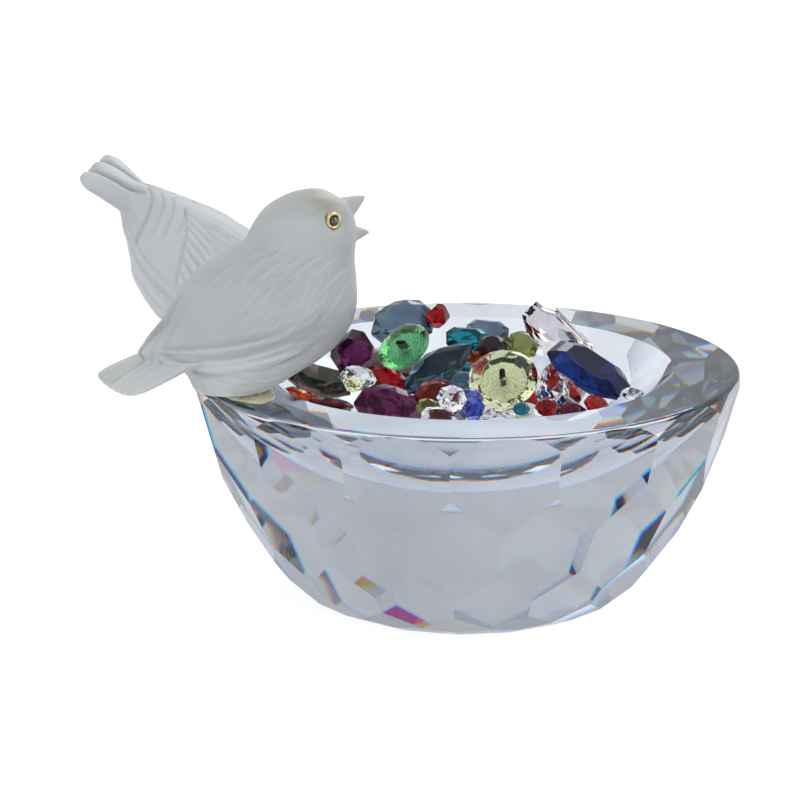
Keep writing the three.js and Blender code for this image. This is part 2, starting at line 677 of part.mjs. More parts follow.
    at: [0.58, -0.38], lean: 30, toward: 40, spin: -27, tint: "sapphire" },
  { name: "clear_navette", outline: "navette", cut: "brilliant", sides: 8, size: [5, 3, 2.2],
    at: [0.78, -0.49], lean: 30, toward: 40, spin: 30, tint: "clear" },
];

const tints = {
  clear: 0xe8e8ec,
  rose: 0xd9c3c6,
  smoke: 0x6b5b52,
  steel: 0x56697c,
  slate: 0x2f3f4e,
  sapphire: 0x10275c,
  blue: 0x3458b8,
  teal: 0x0d6f78,
  emerald: 0x17a03a,
  lime: 0x5fd45a,
  olive: 0x6d7a3c,
  jonquil: 0xe3e88a,
  amethyst: 0x6a2a66,
  plum: 0x4b1440,
  siam: 0x8e0f14,
  garnet: 0x5a1016,
  hyacinth: 0xd83a0e,
  jet: 0x0c0b0d,
};

function stoneTurn({ lean, toward, spin }) {
  const facing = new THREE.Vector3(
    Math.sin(radians(lean)) * Math.sin(radians(toward)),
    -Math.sin(radians(lean)) * Math.cos(radians(toward)),
    Math.cos(radians(lean)),
  );
  const up = new THREE.Vector3(0, 0, 1);
  const tip = new THREE.Quaternion().setFromUnitVectors(up, facing);
  return tip.multiply(new THREE.Quaternion().setFromAxisAngle(up, radians(spin)));
}

// A button stone's hole, six-sided, run right through it.
function buttonHoleSolid({ size }) {
  const [length, , height] = size.map((value) => value * stoneSize);
  const radius = buttonHole * length;
  const profile = [
    [0, -height],
    [radius, -height],
    [radius, height],
    [0, height],
  ];
  return solidOf(turned(profile, 6));
}

// The hull of a bird's body, wings left out, where it sits.
function birdHull(bird) {
  const body = skin(bird.body, 26, 28, bird.upright).applyMatrix4(perchOf(bird).matrix);
  return convexOf(pointsOf(body.attributes.position));
}

// Where a stone comes to lie at x, y: its convex solid, already lowered, and its middle.
function dropped(points, turn, x, y, lying) {
  const middle = new THREE.Vector3(x, y, bowlHeight + 4 * dishDepth);
  const hung = convexOf(points.map((point) => point.clone().applyQuaternion(turn).add(middle)));
  const fall = Math.min(clearOfDish(hung), ...lying.map((other) => clearAbove(hung, other))) - stoneGap;
  middle.z -= fall;
  return { convex: raised(hung, -fall), middle };
}

// A stone that would reach up into a bird is moved in towards the middle of the dish until it is under it.
function stone(spec, lying, overhead) {
  const turn = stoneTurn(spec);
  const points = stonePoints(spec);
  const out = new THREE.Vector2(...spec.at).multiplyScalar(dishRadius);
  const step = 0.25;
  let rest;
  do {
    rest = dropped(points, turn, out.x, out.y, lying);
    out.setLength(out.length() - step);
  } while (out.length() > step && overhead.some((bird) => clearAbove(bird, rest.convex) < stoneGap));
  lying.push(rest.convex);
  let solid = solidOf(bareHull(points));
  if (spec.cut === "button") solid = solid.subtract(buttonHoleSolid(spec));
  const mesh = meshOf(spec.name, solid, finish(tints[spec.tint], 0.04, 0, 0.75));
  mesh.quaternion.copy(turn);
  mesh.position.copy(rest.middle);
  return mesh;
}

const group = new THREE.Group();
group.add(bowl());
group.add(birdGroup("singing", birds.singing), glue("singing_glue", birds.singing));
group.add(birdGroup("drinking", birds.drinking), glue("drinking_glue", birds.drinking));

const overhead = Object.values(birds).map(birdHull);
const lying = [];
for (const spec of stoneList) group.add(stone(spec, lying, overhead));

export default group;
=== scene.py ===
"""Crystal bird figurine: a facet-cut glass bowl, two satin glass birds on its rim, loose cut stones."""
import json
import math

import bmesh
import bpy
import numpy as np
from bpy.props import FloatProperty, FloatVectorProperty, IntProperty, PointerProperty
from mathutils import Matrix, Vector


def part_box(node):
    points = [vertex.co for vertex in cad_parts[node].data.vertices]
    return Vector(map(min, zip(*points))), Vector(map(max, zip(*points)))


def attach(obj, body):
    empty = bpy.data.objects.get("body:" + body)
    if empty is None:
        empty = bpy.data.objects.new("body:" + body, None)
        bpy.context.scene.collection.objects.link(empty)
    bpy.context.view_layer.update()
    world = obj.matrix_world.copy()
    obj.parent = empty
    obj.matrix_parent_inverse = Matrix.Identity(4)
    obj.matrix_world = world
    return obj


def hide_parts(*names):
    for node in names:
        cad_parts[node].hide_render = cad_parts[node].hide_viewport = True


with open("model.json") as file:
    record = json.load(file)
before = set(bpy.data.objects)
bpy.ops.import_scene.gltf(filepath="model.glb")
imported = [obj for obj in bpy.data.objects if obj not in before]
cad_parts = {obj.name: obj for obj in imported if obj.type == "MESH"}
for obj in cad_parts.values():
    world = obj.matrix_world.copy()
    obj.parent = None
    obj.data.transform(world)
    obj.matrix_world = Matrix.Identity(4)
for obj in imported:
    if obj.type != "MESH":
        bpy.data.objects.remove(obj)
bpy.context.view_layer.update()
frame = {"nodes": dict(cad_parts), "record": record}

bl_info = {
    "name": "Crystal Bird Figurine",
    "version": (1, 0, 0),
    "blender": (4, 5, 0),
    "location": "3D View > Sidebar > Figurine",
    "description": "Builds a facet-cut crystal bowl with satin glass birds and loose cut stones",
    "category": "Object",
}

MM = 0.001

# -------- sizes shared with the frame, in millimetres
BOWL_HEIGHT = 42.0
BOWL_RADIUS = 48.6
RIM_WIDTH = 11.6
DISH_DEPTH = 13.5
DISH_RADIUS = BOWL_RADIUS - RIM_WIDTH
DISH_BALL = (DISH_RADIUS**2 + DISH_DEPTH**2) / (2 * DISH_DEPTH)
PERCH_RADIUS = BOWL_RADIUS - RIM_WIDTH / 2
GLUE_THICKNESS = 0.9
GAP = 0.12
SEAT_HEIGHT = BOWL_HEIGHT + GAP + GLUE_THICKNESS + GAP
FACETS = 16
FACET_TURN = 8.4
# Facet rows from the rim down: (lean from upright, inset from the blank, depth under the rim).
FACET_ROWS = ((15.5, 0.2, 0.5), (27, 6.1, 19), (37.5, 9, 26.6), (50, 14.2, 35), (66, 19.2, 39.6))
RING_RADIUS = 1.5
RING_HOLE = 0.9
RING_HEIGHT = 0.7
RING_CROWN = 0.18
SOCKET_DEPTH = 0.75
EYE_DOME = 0.5
GLUE_LENGTH = 10.4
GLUE_WIDTH = 17.0

# Rows of (place along the piece, low side, high side, half width).
SINGING_BODY = (
    (-1.5, -7, 4, 4.5), (0.8, -8, 6.5, 6.6), (2.8, -9.6, 9.6, 8), (4.8, -11.2, 12.8, 9.1),
    (7.4, -13.4, 16.6, 10), (9.8, -14.4, 19, 10.5), (12.6, -13.8, 20.4, 10.8), (15.8, -12, 20.9, 10.6),
    (18.8, -9.6, 20.6, 9.9), (21.6, -6.4, 20.1, 9.1), (23.7, -2.7, 19.7, 8.5), (25.4, 0, 19.6, 8.2),
    (28.1, 1.2, 19.6, 8.1), (31.2, 3.4, 18.6, 7.2), (33.6, 7.2, 16.2, 4.9), (34.9, 10.6, 13.6, 1.5),
)
DRINKING_BODY = (
    (-21.8, 0.4, 3.6, 2.6), (-18, -2.2, 5, 5), (-14, -6.6, 6.3, 7.6), (-10, -10.5, 7.6, 9.4),
    (-5, -12.7, 9, 10.4), (0, -13.6, 9.7, 10.6), (5, -12.7, 9.6, 10.2), (9.5, -10.3, 8.9, 9.2),
    (13.5, -7.6, 8.4, 8.2), (17.5, -5.8, 8.1, 7.7), (21, -4.4, 6.6, 6.4), (23.2, -2.9, 4.6, 4.2),
    (24.3, -0.8, 2.9, 1.4),
)
SINGING_UPPER_BEAK = (
    (12.5, 27.4, 33.0, 3.4), (17, 28.6, 33.5, 2.9), (19, 30.3, 33.8, 1.9), (20.6, 32.3, 34, 0.8),
    (21.3, 33.3, 33.9, 0.2),
)
SINGING_LOWER_BEAK = (
    (13, 23.6, 29.2, 3.4), (18.2, 24.9, 29.0, 2.7), (20.4, 26.1, 28.5, 1.6), (22.2, 27, 28, 0.6),
    (22.9, 27.3, 27.6, 0.2),
)
SINGING_TAIL = (
    (-27.4, -0.9, 0.4, 5), (-26.2, -1.2, 0.7, 8.2), (-22.5, -1.6, 1.3, 9), (-14, -2.2, 1.9, 7),
    (-6, -2.6, 2.2, 5),
)
DRINKING_BEAK = ((18, -1.8, 5, 3.4), (24, -1.6, 2.9, 2.2), (27, -1.4, 0.9, 1), (29.4, -1.2, -0.6, 0.25))
DRINKING_TAIL = (
    (-29, -0.3, 1.4, 5.6), (-28.2, -0.9, 2.2, 7.6), (-24, -1.3, 2.9, 6.8), (-19, -1.7, 3.4, 5.2),
    (-13, -2, 4, 4),
)
# A folded wing runs from its tip to its shoulder.
SINGING_WING = (
    (-18.4, -1.7, -0.5, 0.5), (-16.6, -3.0, 0.5, 1.5), (-13, -4.6, 2.4, 2.8), (-8, -6.0, 4.4, 4.1),
    (-2, -6.7, 5.8, 4.9), (4, -6.3, 6.0, 4.8), (9, -4.7, 5.0, 3.9), (12.5, -2.4, 3.2, 2.3),
    (13.9, -0.2, 1.2, 0.6),
)
DRINKING_WING = (
    (-16.2, -1.4, 0.4, 0.6), (-14, -2.8, 1.8, 1.7), (-10.5, -4.4, 3.6, 3.0), (-5, -5.8, 5.4, 4.2),
    (1, -6.2, 6.0, 4.6), (7, -5.2, 5.2, 3.9), (11.5, -3.0, 3.2, 2.4), (13.2, -0.8, 1.2, 0.7),
)
BIRDS = {
    "singing": dict(
        around=-62, yaw=27, pitch=6, roll=0, back=1.8, lift=0, upright=True, body=SINGING_BODY,
        beaks=(SINGING_UPPER_BEAK, SINGING_LOWER_BEAK), tail=SINGING_TAIL, tail_place=(1.5, 0, 11.8),
        tail_droop=24, wing=SINGING_WING, wing_place=(-2, 5.2, 12), wing_half=(16, 5.4, 6.8), wing_droop=15,
        wing_toe=17, eye_rise=30.8, eye_around=80,
    ),
    "drinking": dict(
        around=-117, yaw=-12, pitch=37, roll=10, back=7.9, lift=11.3, upright=False, body=DRINKING_BODY,
        beaks=(DRINKING_BEAK,), tail=DRINKING_TAIL, tail_place=(0, 0, 0.4), tail_droop=0,
        wing=DRINKING_WING, wing_place=(-4, 6, -0.6), wing_half=(15, 4.8, 6.2), wing_droop=-4, wing_toe=12,
        eye_rise=19, eye_around=64,
    ),
}

# -------- finer sizes, in millimetres
RIM_ROUND = 0.8
RIM_STEPS = 4
DISH_LIP = 0.35
DISH_STEPS = 22
FACET_EDGE_DEGREES = 7
# Rows along a skin and points around it.
BODY_SKIN = (90, 72)
BEAK_SKIN = (24, 28)
TAIL_SKIN = (40, 56)
WING_SKIN = (40, 40)
# Half width and depth of the block that cuts a bird flat where it sits.
SEAT_TOOL = 160
# Where the blended beak starts, so that smoothing leaves its point sharp.
BEAK_STARTS = {"singing": (17.5, 20.0), "drinking": (22.5, 26.0)}
STROKE_SEEDS = {"singing": 7, "drinking": 11}
WING_LANES = 5.5
QUIET_WING = 0.55
# Tail grooves: where they start and are full, half width, and (place across, share of the groove depth).
TAIL_GROOVES = {
    "singing": (-8.5, -13.5, 0.42, ((-5.4, 0.3), (-3.0, 0.3), (-0.6, 0.6), (2.0, 0.3), (4.6, 0.3))),
    "drinking": (-16.5, -20.5, 0.55, ((-2.5, 1.7), (2.5, 1.7))),
}
# Bands over the drinking bird's rump: (place along it, share of the groove depth, first and last turn).
RUMP_BANDS = (
    (-18.0, 0.88, -0.1, 2.2), (-15.6, 0.56, -0.1, 1.7), (-13.4, 0.64, -0.1, 1.6), (-11.0, 0.56, 0.2, 1.3),
)
WING_SLOTS = 8
SOCKET_SIDES = 40
# The stain on the singing bird's head: its middle from the right eye, and how far it reaches.
CROWN_OFFSET = (-0.8, 1.0, 4.0)
CROWN_REACH = 9.4
GLUE_RINGS = 14
# Rings of a button stone: (sides, share of the radius, share of the height, turn).
BUTTON_RINGS = (
    (24, 1.0, 0.05, 0), (24, 1.0, -0.05, 0), (12, 0.86, 0.245, 0.5), (12, 0.6, 0.42, 0), (12, 0.62, -0.42, 0),
)
# Button stones: body, (width, height, lean, toward, turn of the slot) and the colour of the foil.
BUTTONS = {
    "lime_button": ("lime_stone", (9.8, 3.2, 44, -39, 62), (0.62, 0.72, 1.0)),
    "jonquil_button": ("jonquil_stone", (12.2, 3.6, 42, -9, 0), (0.93, 1.0, 0.95)),
}
SLOT_SIDES = 16
BUTTON_EDGE = 0.07

# -------- stage, in metres
MIDDLE = (0, 0, 0.045)
FLOOR_SIZE = 6.0
FLOOR_LEVEL = -0.0002
CAMERA_TARGET = (-0.01144, -0.00152, 0.03603)
# Soft lamps: place, size, the setting with the power, and whether glass and shiny faces show it.
LAMPS = (
    ("key_softbox", (-0.55, -0.55, 0.75), (0.5, 0.5), "key", True, True),
    ("right_softbox", (0.75, -0.25, 0.45), (0.35, 0.6), "fill", False, True),
    ("back_softbox", (0.25, 0.75, 0.6), (0.5, 0.3), "fill", False, True),
    ("low_softbox", (-0.45, -0.75, 0.15), (0.5, 0.25), "low", False, False),
)
# Grey boards beside the set, for the dark lines in clear glass: place and size.
BOARD_SHADE = 0.12
BOARDS = (
    ("left_board", (-0.6, -0.15, 0.12), (0.10, 0.3)),
    ("right_board", (0.6, -0.05, 0.12), (0.07, 0.3)),
)
# Glowing papers that are only seen through the crystal, where they paint its coloured glints: place, side,
# colour and strength.
GLINTS = (
    ("glint_magenta", (0.030, 0.050, 0.102), 0.016, (0.60, 0.01, 0.28), 1.4),
    ("glint_amber", (0.049, 0.050, 0.110), 0.020, (0.90, 0.42, 0.05), 1.6),
    ("glint_white", (0.0, 0.060, 0.100), 0.018, (1.0, 1.0, 1.0), 6.0),
    ("glint_lilac", (0.33, 0.70, 0.11), 0.045, (0.78, 0.74, 0.93), 1.0),
)

# Stone colours: (where the glass is thin, where it is dense).
STONE_TINTS = {
    "clear": ((0.90, 0.91, 0.93), (0.70, 0.71, 0.75)),
    "rose": ((0.88, 0.84, 0.84), (0.68, 0.60, 0.61)),
    "smoke": ((0.20, 0.14, 0.14), (0.07, 0.045, 0.045)),
    "steel": ((0.17, 0.24, 0.32), (0.06, 0.10, 0.15)),
    "slate": ((0.10, 0.16, 0.22), (0.03, 0.055, 0.09)),
    "sapphire": ((0.012, 0.040, 0.24), (0.003, 0.012, 0.09)),
    "blue": ((0.25, 0.33, 0.85), (0.04, 0.07, 0.50)),
    "teal": ((0.02, 0.30, 0.38), (0.003, 0.11, 0.16)),
    "emerald": ((0.06, 0.45, 0.12), (0.005, 0.20, 0.03)),
    "lime": ((0.30, 0.92, 0.34), (0.17, 0.78, 0.22)),
    "olive": ((0.36, 0.41, 0.15), (0.14, 0.17, 0.04)),
    "jonquil": ((0.90, 0.93, 0.62), (0.74, 0.79, 0.40)),
    "amethyst": ((0.17, 0.022, 0.12), (0.055, 0.006, 0.04)),
    "plum": ((0.18, 0.022, 0.12), (0.055, 0.005, 0.038)),
    "siam": ((0.46, 0.008, 0.012), (0.22, 0.002, 0.004)),
    "garnet": ((0.20, 0.008, 0.02), (0.07, 0.002, 0.005)),
    "hyacinth": ((0.75, 0.14, 0.02), (0.48, 0.04, 0.0)),
    "jet": ((0.03, 0.012, 0.015), (0.01, 0.005, 0.006)),
}
PALE_STONE = 0.6


# -------- small helpers
def link(obj):
    bpy.context.scene.collection.objects.link(obj)
    return obj


def mesh_object(name, vertices, faces, material=None, smooth=True):
    """A new mesh object from points in millimetres."""
    mesh = bpy.data.meshes.new(name)
    mesh.from_pydata([tuple(v) for v in np.asarray(vertices, float) * MM], [], [tuple(f) for f in faces])
    mesh.polygons.foreach_set("use_smooth", [smooth] * len(mesh.polygons))
    mesh.update()
    if material is not None:
        mesh.materials.append(material)
    return link(bpy.data.objects.new(name, mesh))


def apply_modifiers(obj):
    """The evaluated mesh takes the place of the object's own mesh and modifiers."""
    bpy.context.view_layer.update()
    graph = bpy.context.evaluated_depsgraph_get()
    made = bpy.data.meshes.new_from_object(obj.evaluated_get(graph), depsgraph=graph)
    obj.modifiers.clear()
    old = obj.data
    obj.data = made
    bpy.data.meshes.remove(old)


def face_outward(obj):
    mesh = bmesh.new()
    mesh.from_mesh(obj.data)
    bmesh.ops.recalc_face_normals(mesh, faces=mesh.faces)
    mesh.to_mesh(obj.data)
    mesh.free()


def read(items, field, width, kind=float):
    """One field of every vertex, edge or normal of a mesh, as rows."""
    values = np.zeros(len(items) * width, kind)
    items.foreach_get(field, values)
    return values.reshape(-1, width)


def piece(obj, body, slot, *nodes):
    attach(obj, body)
    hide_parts(*nodes)


def smoothstep(low, high, x):
    t = np.clip((x - low) / (high - low), 0, 1)
    return t * t * (3 - 2 * t)


def peak(x, width):
    """1 where x is 0, falling off softly over the width."""
    return np.exp(-((x / width) ** 2))


def turn_matrix(axis, degrees):
    return np.array(Matrix.Rotation(math.radians(degrees), 3, axis))


def around_axis(radius, angle, height=0.0):
    """A point at an angle around Z, counted from the front."""
    return Vector((radius * math.sin(angle), -radius * math.cos(angle), height))


def placed(points, matrix):
    m = np.array(matrix)
    return np.asarray(points) @ m[:3, :3].T + m[:3, 3]


def turned(profile, segments, start=0.0):
    """A closed turned body about Z from [radius, height], or a ring where no radius is 0."""
    vertices, circles, faces = [], [], []
    for radius, height in profile:
        if radius == 0:
            circles.append([len(vertices)] * segments)
            vertices.append((0, 0, height))
            continue
        circles.append(list(range(len(vertices), len(vertices) + segments)))
        for k in range(segments):
            angle = start + 2 * math.pi * k / segments
            vertices.append((radius * math.cos(angle), radius * math.sin(angle), height))
    pairs = list(zip(circles, circles[1:]))
    if profile[0][0] != 0:
        pairs.append((circles[-1], circles[0]))
    for lower, upper in pairs:
        for k in range(segments):
            n = (k + 1) % segments
            corners = []
            for corner in (lower[k], lower[n], upper[n], upper[k]):
                if corner not in corners:
                    corners.append(corner)
            faces.append(tuple(corners))
    return np.array(vertices, float), faces


def prism(outline, low, high):
    """An upright closed prism over a flat outline."""
    count = len(outline)
    points = np.concatenate([np.column_stack((outline, np.full(count, z))) for z in (low, high)])
    sides = [(k, (k + 1) % count, count + (k + 1) % count, count + k) for k in range(count)]
    return points, sides + [tuple(range(count - 1, -1, -1)), tuple(range(count, 2 * count))]


def boolean(obj, vertices, faces, operation):
    tool = mesh_object("tool", vertices, faces)
    modifier = obj.modifiers.new("cut", "BOOLEAN")
    modifier.operation = operation
    modifier.solver = "EXACT"
    modifier.object = tool
    apply_modifiers(obj)
    bpy.data.objects.remove(tool)


def bevel_edges(obj, width):
    bevel = obj.modifiers.new("polished edges", "BEVEL")
    bevel.width = width
    bevel.segments = 2
    bevel.limit_method = "ANGLE"
    bevel.angle_limit = math.radians(9)
    bevel.harden_normals = False


# -------- node helpers
def fill(node, values):
    """Sets a node's inputs: a socket is joined to its input, anything else is its plain value."""
    for key, value in values.items():
        if isinstance(value, bpy.types.NodeSocket):
            node.id_data.links.new(value, node.inputs[key])
        else:
            node.inputs[key].default_value = value


def add_node(tree, kind, values=None, **settings):
    node = tree.nodes.new(kind)
    for key, value in settings.items():
        setattr(node, key, value)
    fill(node, values or {})
    return node


def empty_material(name):
    material = bpy.data.materials.new(name)
    material.use_nodes = True
    tree = material.node_tree
    tree.nodes.clear()
    return material, tree, tree.nodes.new("ShaderNodeOutputMaterial")


def principled(name, values):
    material, tree, output = empty_material(name)
    shader = add_node(tree, "ShaderNodeBsdfPrincipled", values)
    fill(output, {"Surface": shader.outputs["BSDF"]})
    return material, tree, shader


def own_space(tree):
    """Each point's place in its object, in metres."""
    return add_node(tree, "ShaderNodeTexCoord").outputs["Object"]


def noise(tree, scale, detail=3.0, roughness=0.5, stretch=None):
    """A cloudy pattern in the object's own space, whose scale is per metre."""
    source = own_space(tree)
    if stretch is not None:
        source = add_node(tree, "ShaderNodeMapping", {"Vector": source, "Scale": stretch}).outputs["Vector"]
    values = {"Vector": source, "Scale": scale, "Detail": detail, "Roughness": roughness}
    return add_node(tree, "ShaderNodeTexNoise", values).outputs["Fac"]


def ramp(tree, source, *stops):
    """Colours by stops of (place, colour)."""
    node = add_node(tree, "ShaderNodeValToRGB", {"Fac": source})
    for element, (place, color) in zip(node.color_ramp.elements, stops):
        element.position = place
        element.color = (*color, 1)
    return node.outputs["Color"]


def grey(value):
    return (value, value, value)


def relief_of(tree, height, strength, distance):
    values = {"Height": height, "Strength": strength, "Distance": distance}
    return add_node(tree, "ShaderNodeBump", values).outputs["Normal"]


def math_node(tree, operation, *values):
    return add_node(tree, "ShaderNodeMath", dict(enumerate(values)), operation=operation).outputs[0]


def mix_shaders(tree, share, first, second):
    return add_node(tree, "ShaderNodeMixShader", {0: share, 1: first, 2: second}).outputs[0]


def add_shaders(tree, first, second):
    return add_node(tree, "ShaderNodeAddShader", {0: first, 1: second}).outputs[0]


# -------- materials
def crystal_material(settings):
    """Polished lead crystal: a grey-blue tint, partly its own cool colour and mostly painted shade for the
    darker room seen through it, with drifting density, fine polishing marks, and dispersion.
    """
    material, tree, output = empty_material("polished_crystal")
    # The tint is partly the crystal's own cool colour and mostly painted shade, standing in for the darker
    # room seen through the glass.
    tint = np.sqrt(np.array(settings.tint[:3]))
    cords = noise(tree, 55, 2.0, 0.45, (1.0, 1.0, 0.35))
    color = ramp(tree, cords, (0.3, tint * 0.93), (0.7, np.minimum(tint * 1.05, 1)))
    relief = relief_of(tree, noise(tree, 2600, 1.0, 0.5, (1.0, 1.0, 0.12)), 0.02, 0.00001)
    parts = add_node(tree, "ShaderNodeSeparateColor", {"Color": color}).outputs

    def glass(shade, ior):
        values = {"Color": shade, "Roughness": 0.0, "IOR": ior, "Normal": relief}
        return add_node(tree, "ShaderNodeBsdfGlass", values).outputs[0]

    rainbow = None
    for channel, offset in (("Red", -0.5), ("Green", 0.0), ("Blue", 0.5)):
        only = add_node(tree, "ShaderNodeCombineColor", {channel: parts[channel]}).outputs["Color"]
        one = glass(only, settings.ior + offset * settings.dispersion)
        rainbow = one if rainbow is None else add_shaders(tree, rainbow, one)
    # Light is split into its colours only where it is first seen, which is enough for the coloured glints.
    path = add_node(tree, "ShaderNodeLightPath").outputs
    total = mix_shaders(tree, path["Is Camera Ray"], glass(color, settings.ior), rainbow)
    # Soft light goes through the crystal to what lies round it, a little weaker than it came.
    passed = add_node(tree, "ShaderNodeBsdfTransparent", {"Color": (*settings.passed_light, 1)}).outputs[0]
    for ray in ("Is Shadow Ray", "Is Diffuse Ray"):
        total = mix_shaders(tree, path[ray], total, passed)
    fill(output, {"Surface": total})
    return material


def satin_material(name, color, settings, crown=None):
    """Satin-etched glass: milky, soft sheen, faintly mottled, with an even fine grain, and painted shade and
    light that follow its relief.
    """
    material, tree, shader = principled(name, {
        "Transmission Weight": settings.clearness,
        "IOR": 1.5,
        "Subsurface Weight": settings.milkiness,
        "Subsurface Radius": (1.0, 1.0, 1.0),
        "Subsurface Scale": 0.0012,
        "Specular IOR Level": 0.45,
    })
    mottle = noise(tree, 160, 3.0, 0.55)
    base = np.array(color[:3])
    etched = ramp(tree, mottle, (0.3, base * 0.955), (0.7, np.minimum(base * 1.02, 1)))
    # Painted shade makes the colour darker in the etch's grooves, and painted light makes it lighter on its
    # ridges.
    cut = add_node(tree, "ShaderNodeAttribute", attribute_name="relief").outputs["Fac"]
    span = {"Value": cut, "From Min": -0.8, "From Max": 0.4, "To Min": 0.48, "To Max": 1.2}
    shade = add_node(tree, "ShaderNodeMapRange", span).outputs["Result"]
    values = {0: etched, "Scale": shade}
    source = add_node(tree, "ShaderNodeVectorMath", values, operation="SCALE").outputs["Vector"]
    if crown is not None:
        place, reach, stain = crown
        away = {0: own_space(tree), 1: place}
        away = add_node(tree, "ShaderNodeVectorMath", away, operation="DISTANCE").outputs["Value"]
        patch = math_node(tree, "MULTIPLY_ADD", reach * 0.55, noise(tree, 620, 3.0, 0.6), away)
        span = {"Value": patch, "From Min": 0.0, "From Max": reach, "To Min": 0.95, "To Max": 0.0}
        edge = add_node(tree, "ShaderNodeMapRange", span, interpolation_type="SMOOTHSTEP").outputs["Result"]
        values = {"Factor": edge, 6: source, 7: (*stain, 1)}
        source = add_node(tree, "ShaderNodeMix", values, data_type="RGBA").outputs[2]
    fill(shader, {
        "Base Color": source,
        "Roughness": ramp(tree, mottle, (0.25, grey(0.40)), (0.75, grey(0.50))),
        "Normal": relief_of(tree, noise(tree, 5200, 2.0, 0.6), 0.12, 0.00004),
    })
    return material


def clouded_material(name, values, pattern, colors, relief, gloss=None):
    """A material whose colour, relief and roughness follow one cloudy pattern."""
    material, tree, shader = principled(name, values)
    cloud = noise(tree, *pattern)
    fill(shader, {"Base Color": ramp(tree, cloud, *colors), "Normal": relief_of(tree, cloud, *relief)})
    if gloss is not None:
        fill(shader, {"Roughness": ramp(tree, cloud, *gloss)})
    return material


def gold_material(color):
    """Worn gold: darker and rougher where it is rubbed."""
    return clouded_material(
        "gold_setting", {"Metallic": 1}, (2400, 3.0, 0.6), ((0.35, 0.45 * color), (0.65, color)),
        (0.5, 0.0001), ((0.3, grey(0.42)), (0.7, grey(0.2))),
    )


def eye_material():
    return clouded_material(
        "dark_eye_glass", {"Roughness": 0.05, "Coat Weight": 1}, (900, 2.0, 0.5),
        ((0.42, (0.008, 0.006, 0.005)), (0.62, (0.12, 0.11, 0.08))), (0.05, 0.00005),
    )


def glue_material(color):
    """Cured glue: yellowed in clots, clearer between them."""
    return clouded_material(
        "cured_glue", {"Transmission Weight": 0.6, "IOR": 1.48}, (700, 3.0, 0.6),
        ((0.3, color), (0.7, 0.45 + 0.55 * color)), (0.4, 0.0002), ((0.3, grey(0.12)), (0.7, grey(0.4))),
    )


def bore_material():
    """The wall of a button stone's slot, dark brown and a little uneven."""
    return clouded_material(
        "button_bore", {"Roughness": 0.5}, (2500, 2.0, 0.6),
        ((0.3, (0.03, 0.02, 0.015)), (0.7, (0.10, 0.07, 0.05))), (0.3, 0.00005),
    )


def stone_material(tint, settings):
    """Cut glass: one colour that is a little uneven in depth, with sharp polish and rare surface scuffs."""
    thin, dense = STONE_TINTS[tint]
    clearness = settings.clearness if max(dense) < PALE_STONE else 1.0
    material, tree, shader = principled("cut_glass_" + tint, {
        "Transmission Weight": 0.0 if tint == "jet" else clearness,
        "IOR": settings.ior,
        "Roughness": 0.0,
        "Specular Tint": (*grey(settings.surface_shine), 1),
    })
    fill(shader, {
        "Base Color": ramp(tree, noise(tree, 210, 2.0, 0.5), (0.3, dense), (0.7, thin)),
        "Normal": relief_of(tree, noise(tree, 1800, 2.0, 0.6), 0.03, 0.00002),
    })
    return material


def foil_material(tint, color):
    """The glittering foil behind a button stone: small flakes, each as bright as it happens to lie."""
    material, tree, shader = principled("foil_" + tint, {"Metallic": 1})
    flakes = add_node(tree, "ShaderNodeTexVoronoi", {"Vector": own_space(tree), "Scale": 7000.0}).outputs
    one = add_node(tree, "ShaderNodeSeparateColor", {"Color": flakes["Color"]}).outputs
    base = np.array(color)
    fill(shader, {
        "Base Color": ramp(tree, one["Red"], (0.15, base * 0.72), (0.9, base)),
        "Roughness": ramp(tree, one["Green"], (0.2, grey(0.18)), (0.8, grey(0.45))),
        "Normal": relief_of(tree, flakes["Distance"], 0.6, 0.00015),
    })
    return material


# -------- the bowl
def bowl_blank(segments):
    """The turned block with its dish, before any facet is cut."""
    profile = [(0.0, 0.0), (BOWL_RADIUS, 0.0)]
    for i in range(RIM_STEPS + 1):
        angle = i / RIM_STEPS * math.pi / 2
        radius = BOWL_RADIUS - RIM_ROUND * (1 - math.cos(angle))
        profile.append((radius, BOWL_HEIGHT - RIM_ROUND * (1 - math.sin(angle))))
    profile.append((DISH_RADIUS + DISH_LIP, BOWL_HEIGHT))
    sweep = math.asin(DISH_RADIUS / DISH_BALL)
    centre = BOWL_HEIGHT - DISH_DEPTH + DISH_BALL
    for i in range(DISH_STEPS, -1, -1):
        angle = i / DISH_STEPS * sweep
        profile.append((DISH_BALL * math.sin(angle), centre - DISH_BALL * math.cos(angle)))
    vertices, faces = turned(profile, segments, -math.pi / 2)
    mesh = bmesh.new()
    corners = [mesh.verts.new(v) for v in vertices * MM]
    for face in faces:
        mesh.faces.new([corners[i] for i in face])
    bmesh.ops.recalc_face_normals(mesh, faces=mesh.faces)
    return mesh


def cut_facets(mesh):
    """Cuts every facet plane off the block and closes the cuts."""
    for row, (lean, inset, depth) in enumerate(FACET_ROWS):
        half = 0.5 if row % 2 else 0.0
        slope = math.radians(lean)
        for k in range(FACETS):
            around = math.radians(FACET_TURN) + (k + half) * 2 * math.pi / FACETS
            cut = bmesh.ops.bisect_plane(
                mesh, geom=mesh.verts[:] + mesh.edges[:] + mesh.faces[:], dist=1e-8, clear_outer=True,
                plane_co=around_axis(BOWL_RADIUS - inset, around, BOWL_HEIGHT - depth) * MM,
                plane_no=around_axis(math.cos(slope), around, -math.sin(slope)),
            )
            edges = [e for e in cut["geom_cut"] if isinstance(e, bmesh.types.BMEdge) and e.is_boundary]
            if edges:
                bmesh.ops.edgeloop_fill(mesh, edges=edges)
    bmesh.ops.remove_doubles(mesh, verts=mesh.verts, dist=1e-7)
    bmesh.ops.recalc_face_normals(mesh, faces=mesh.faces)


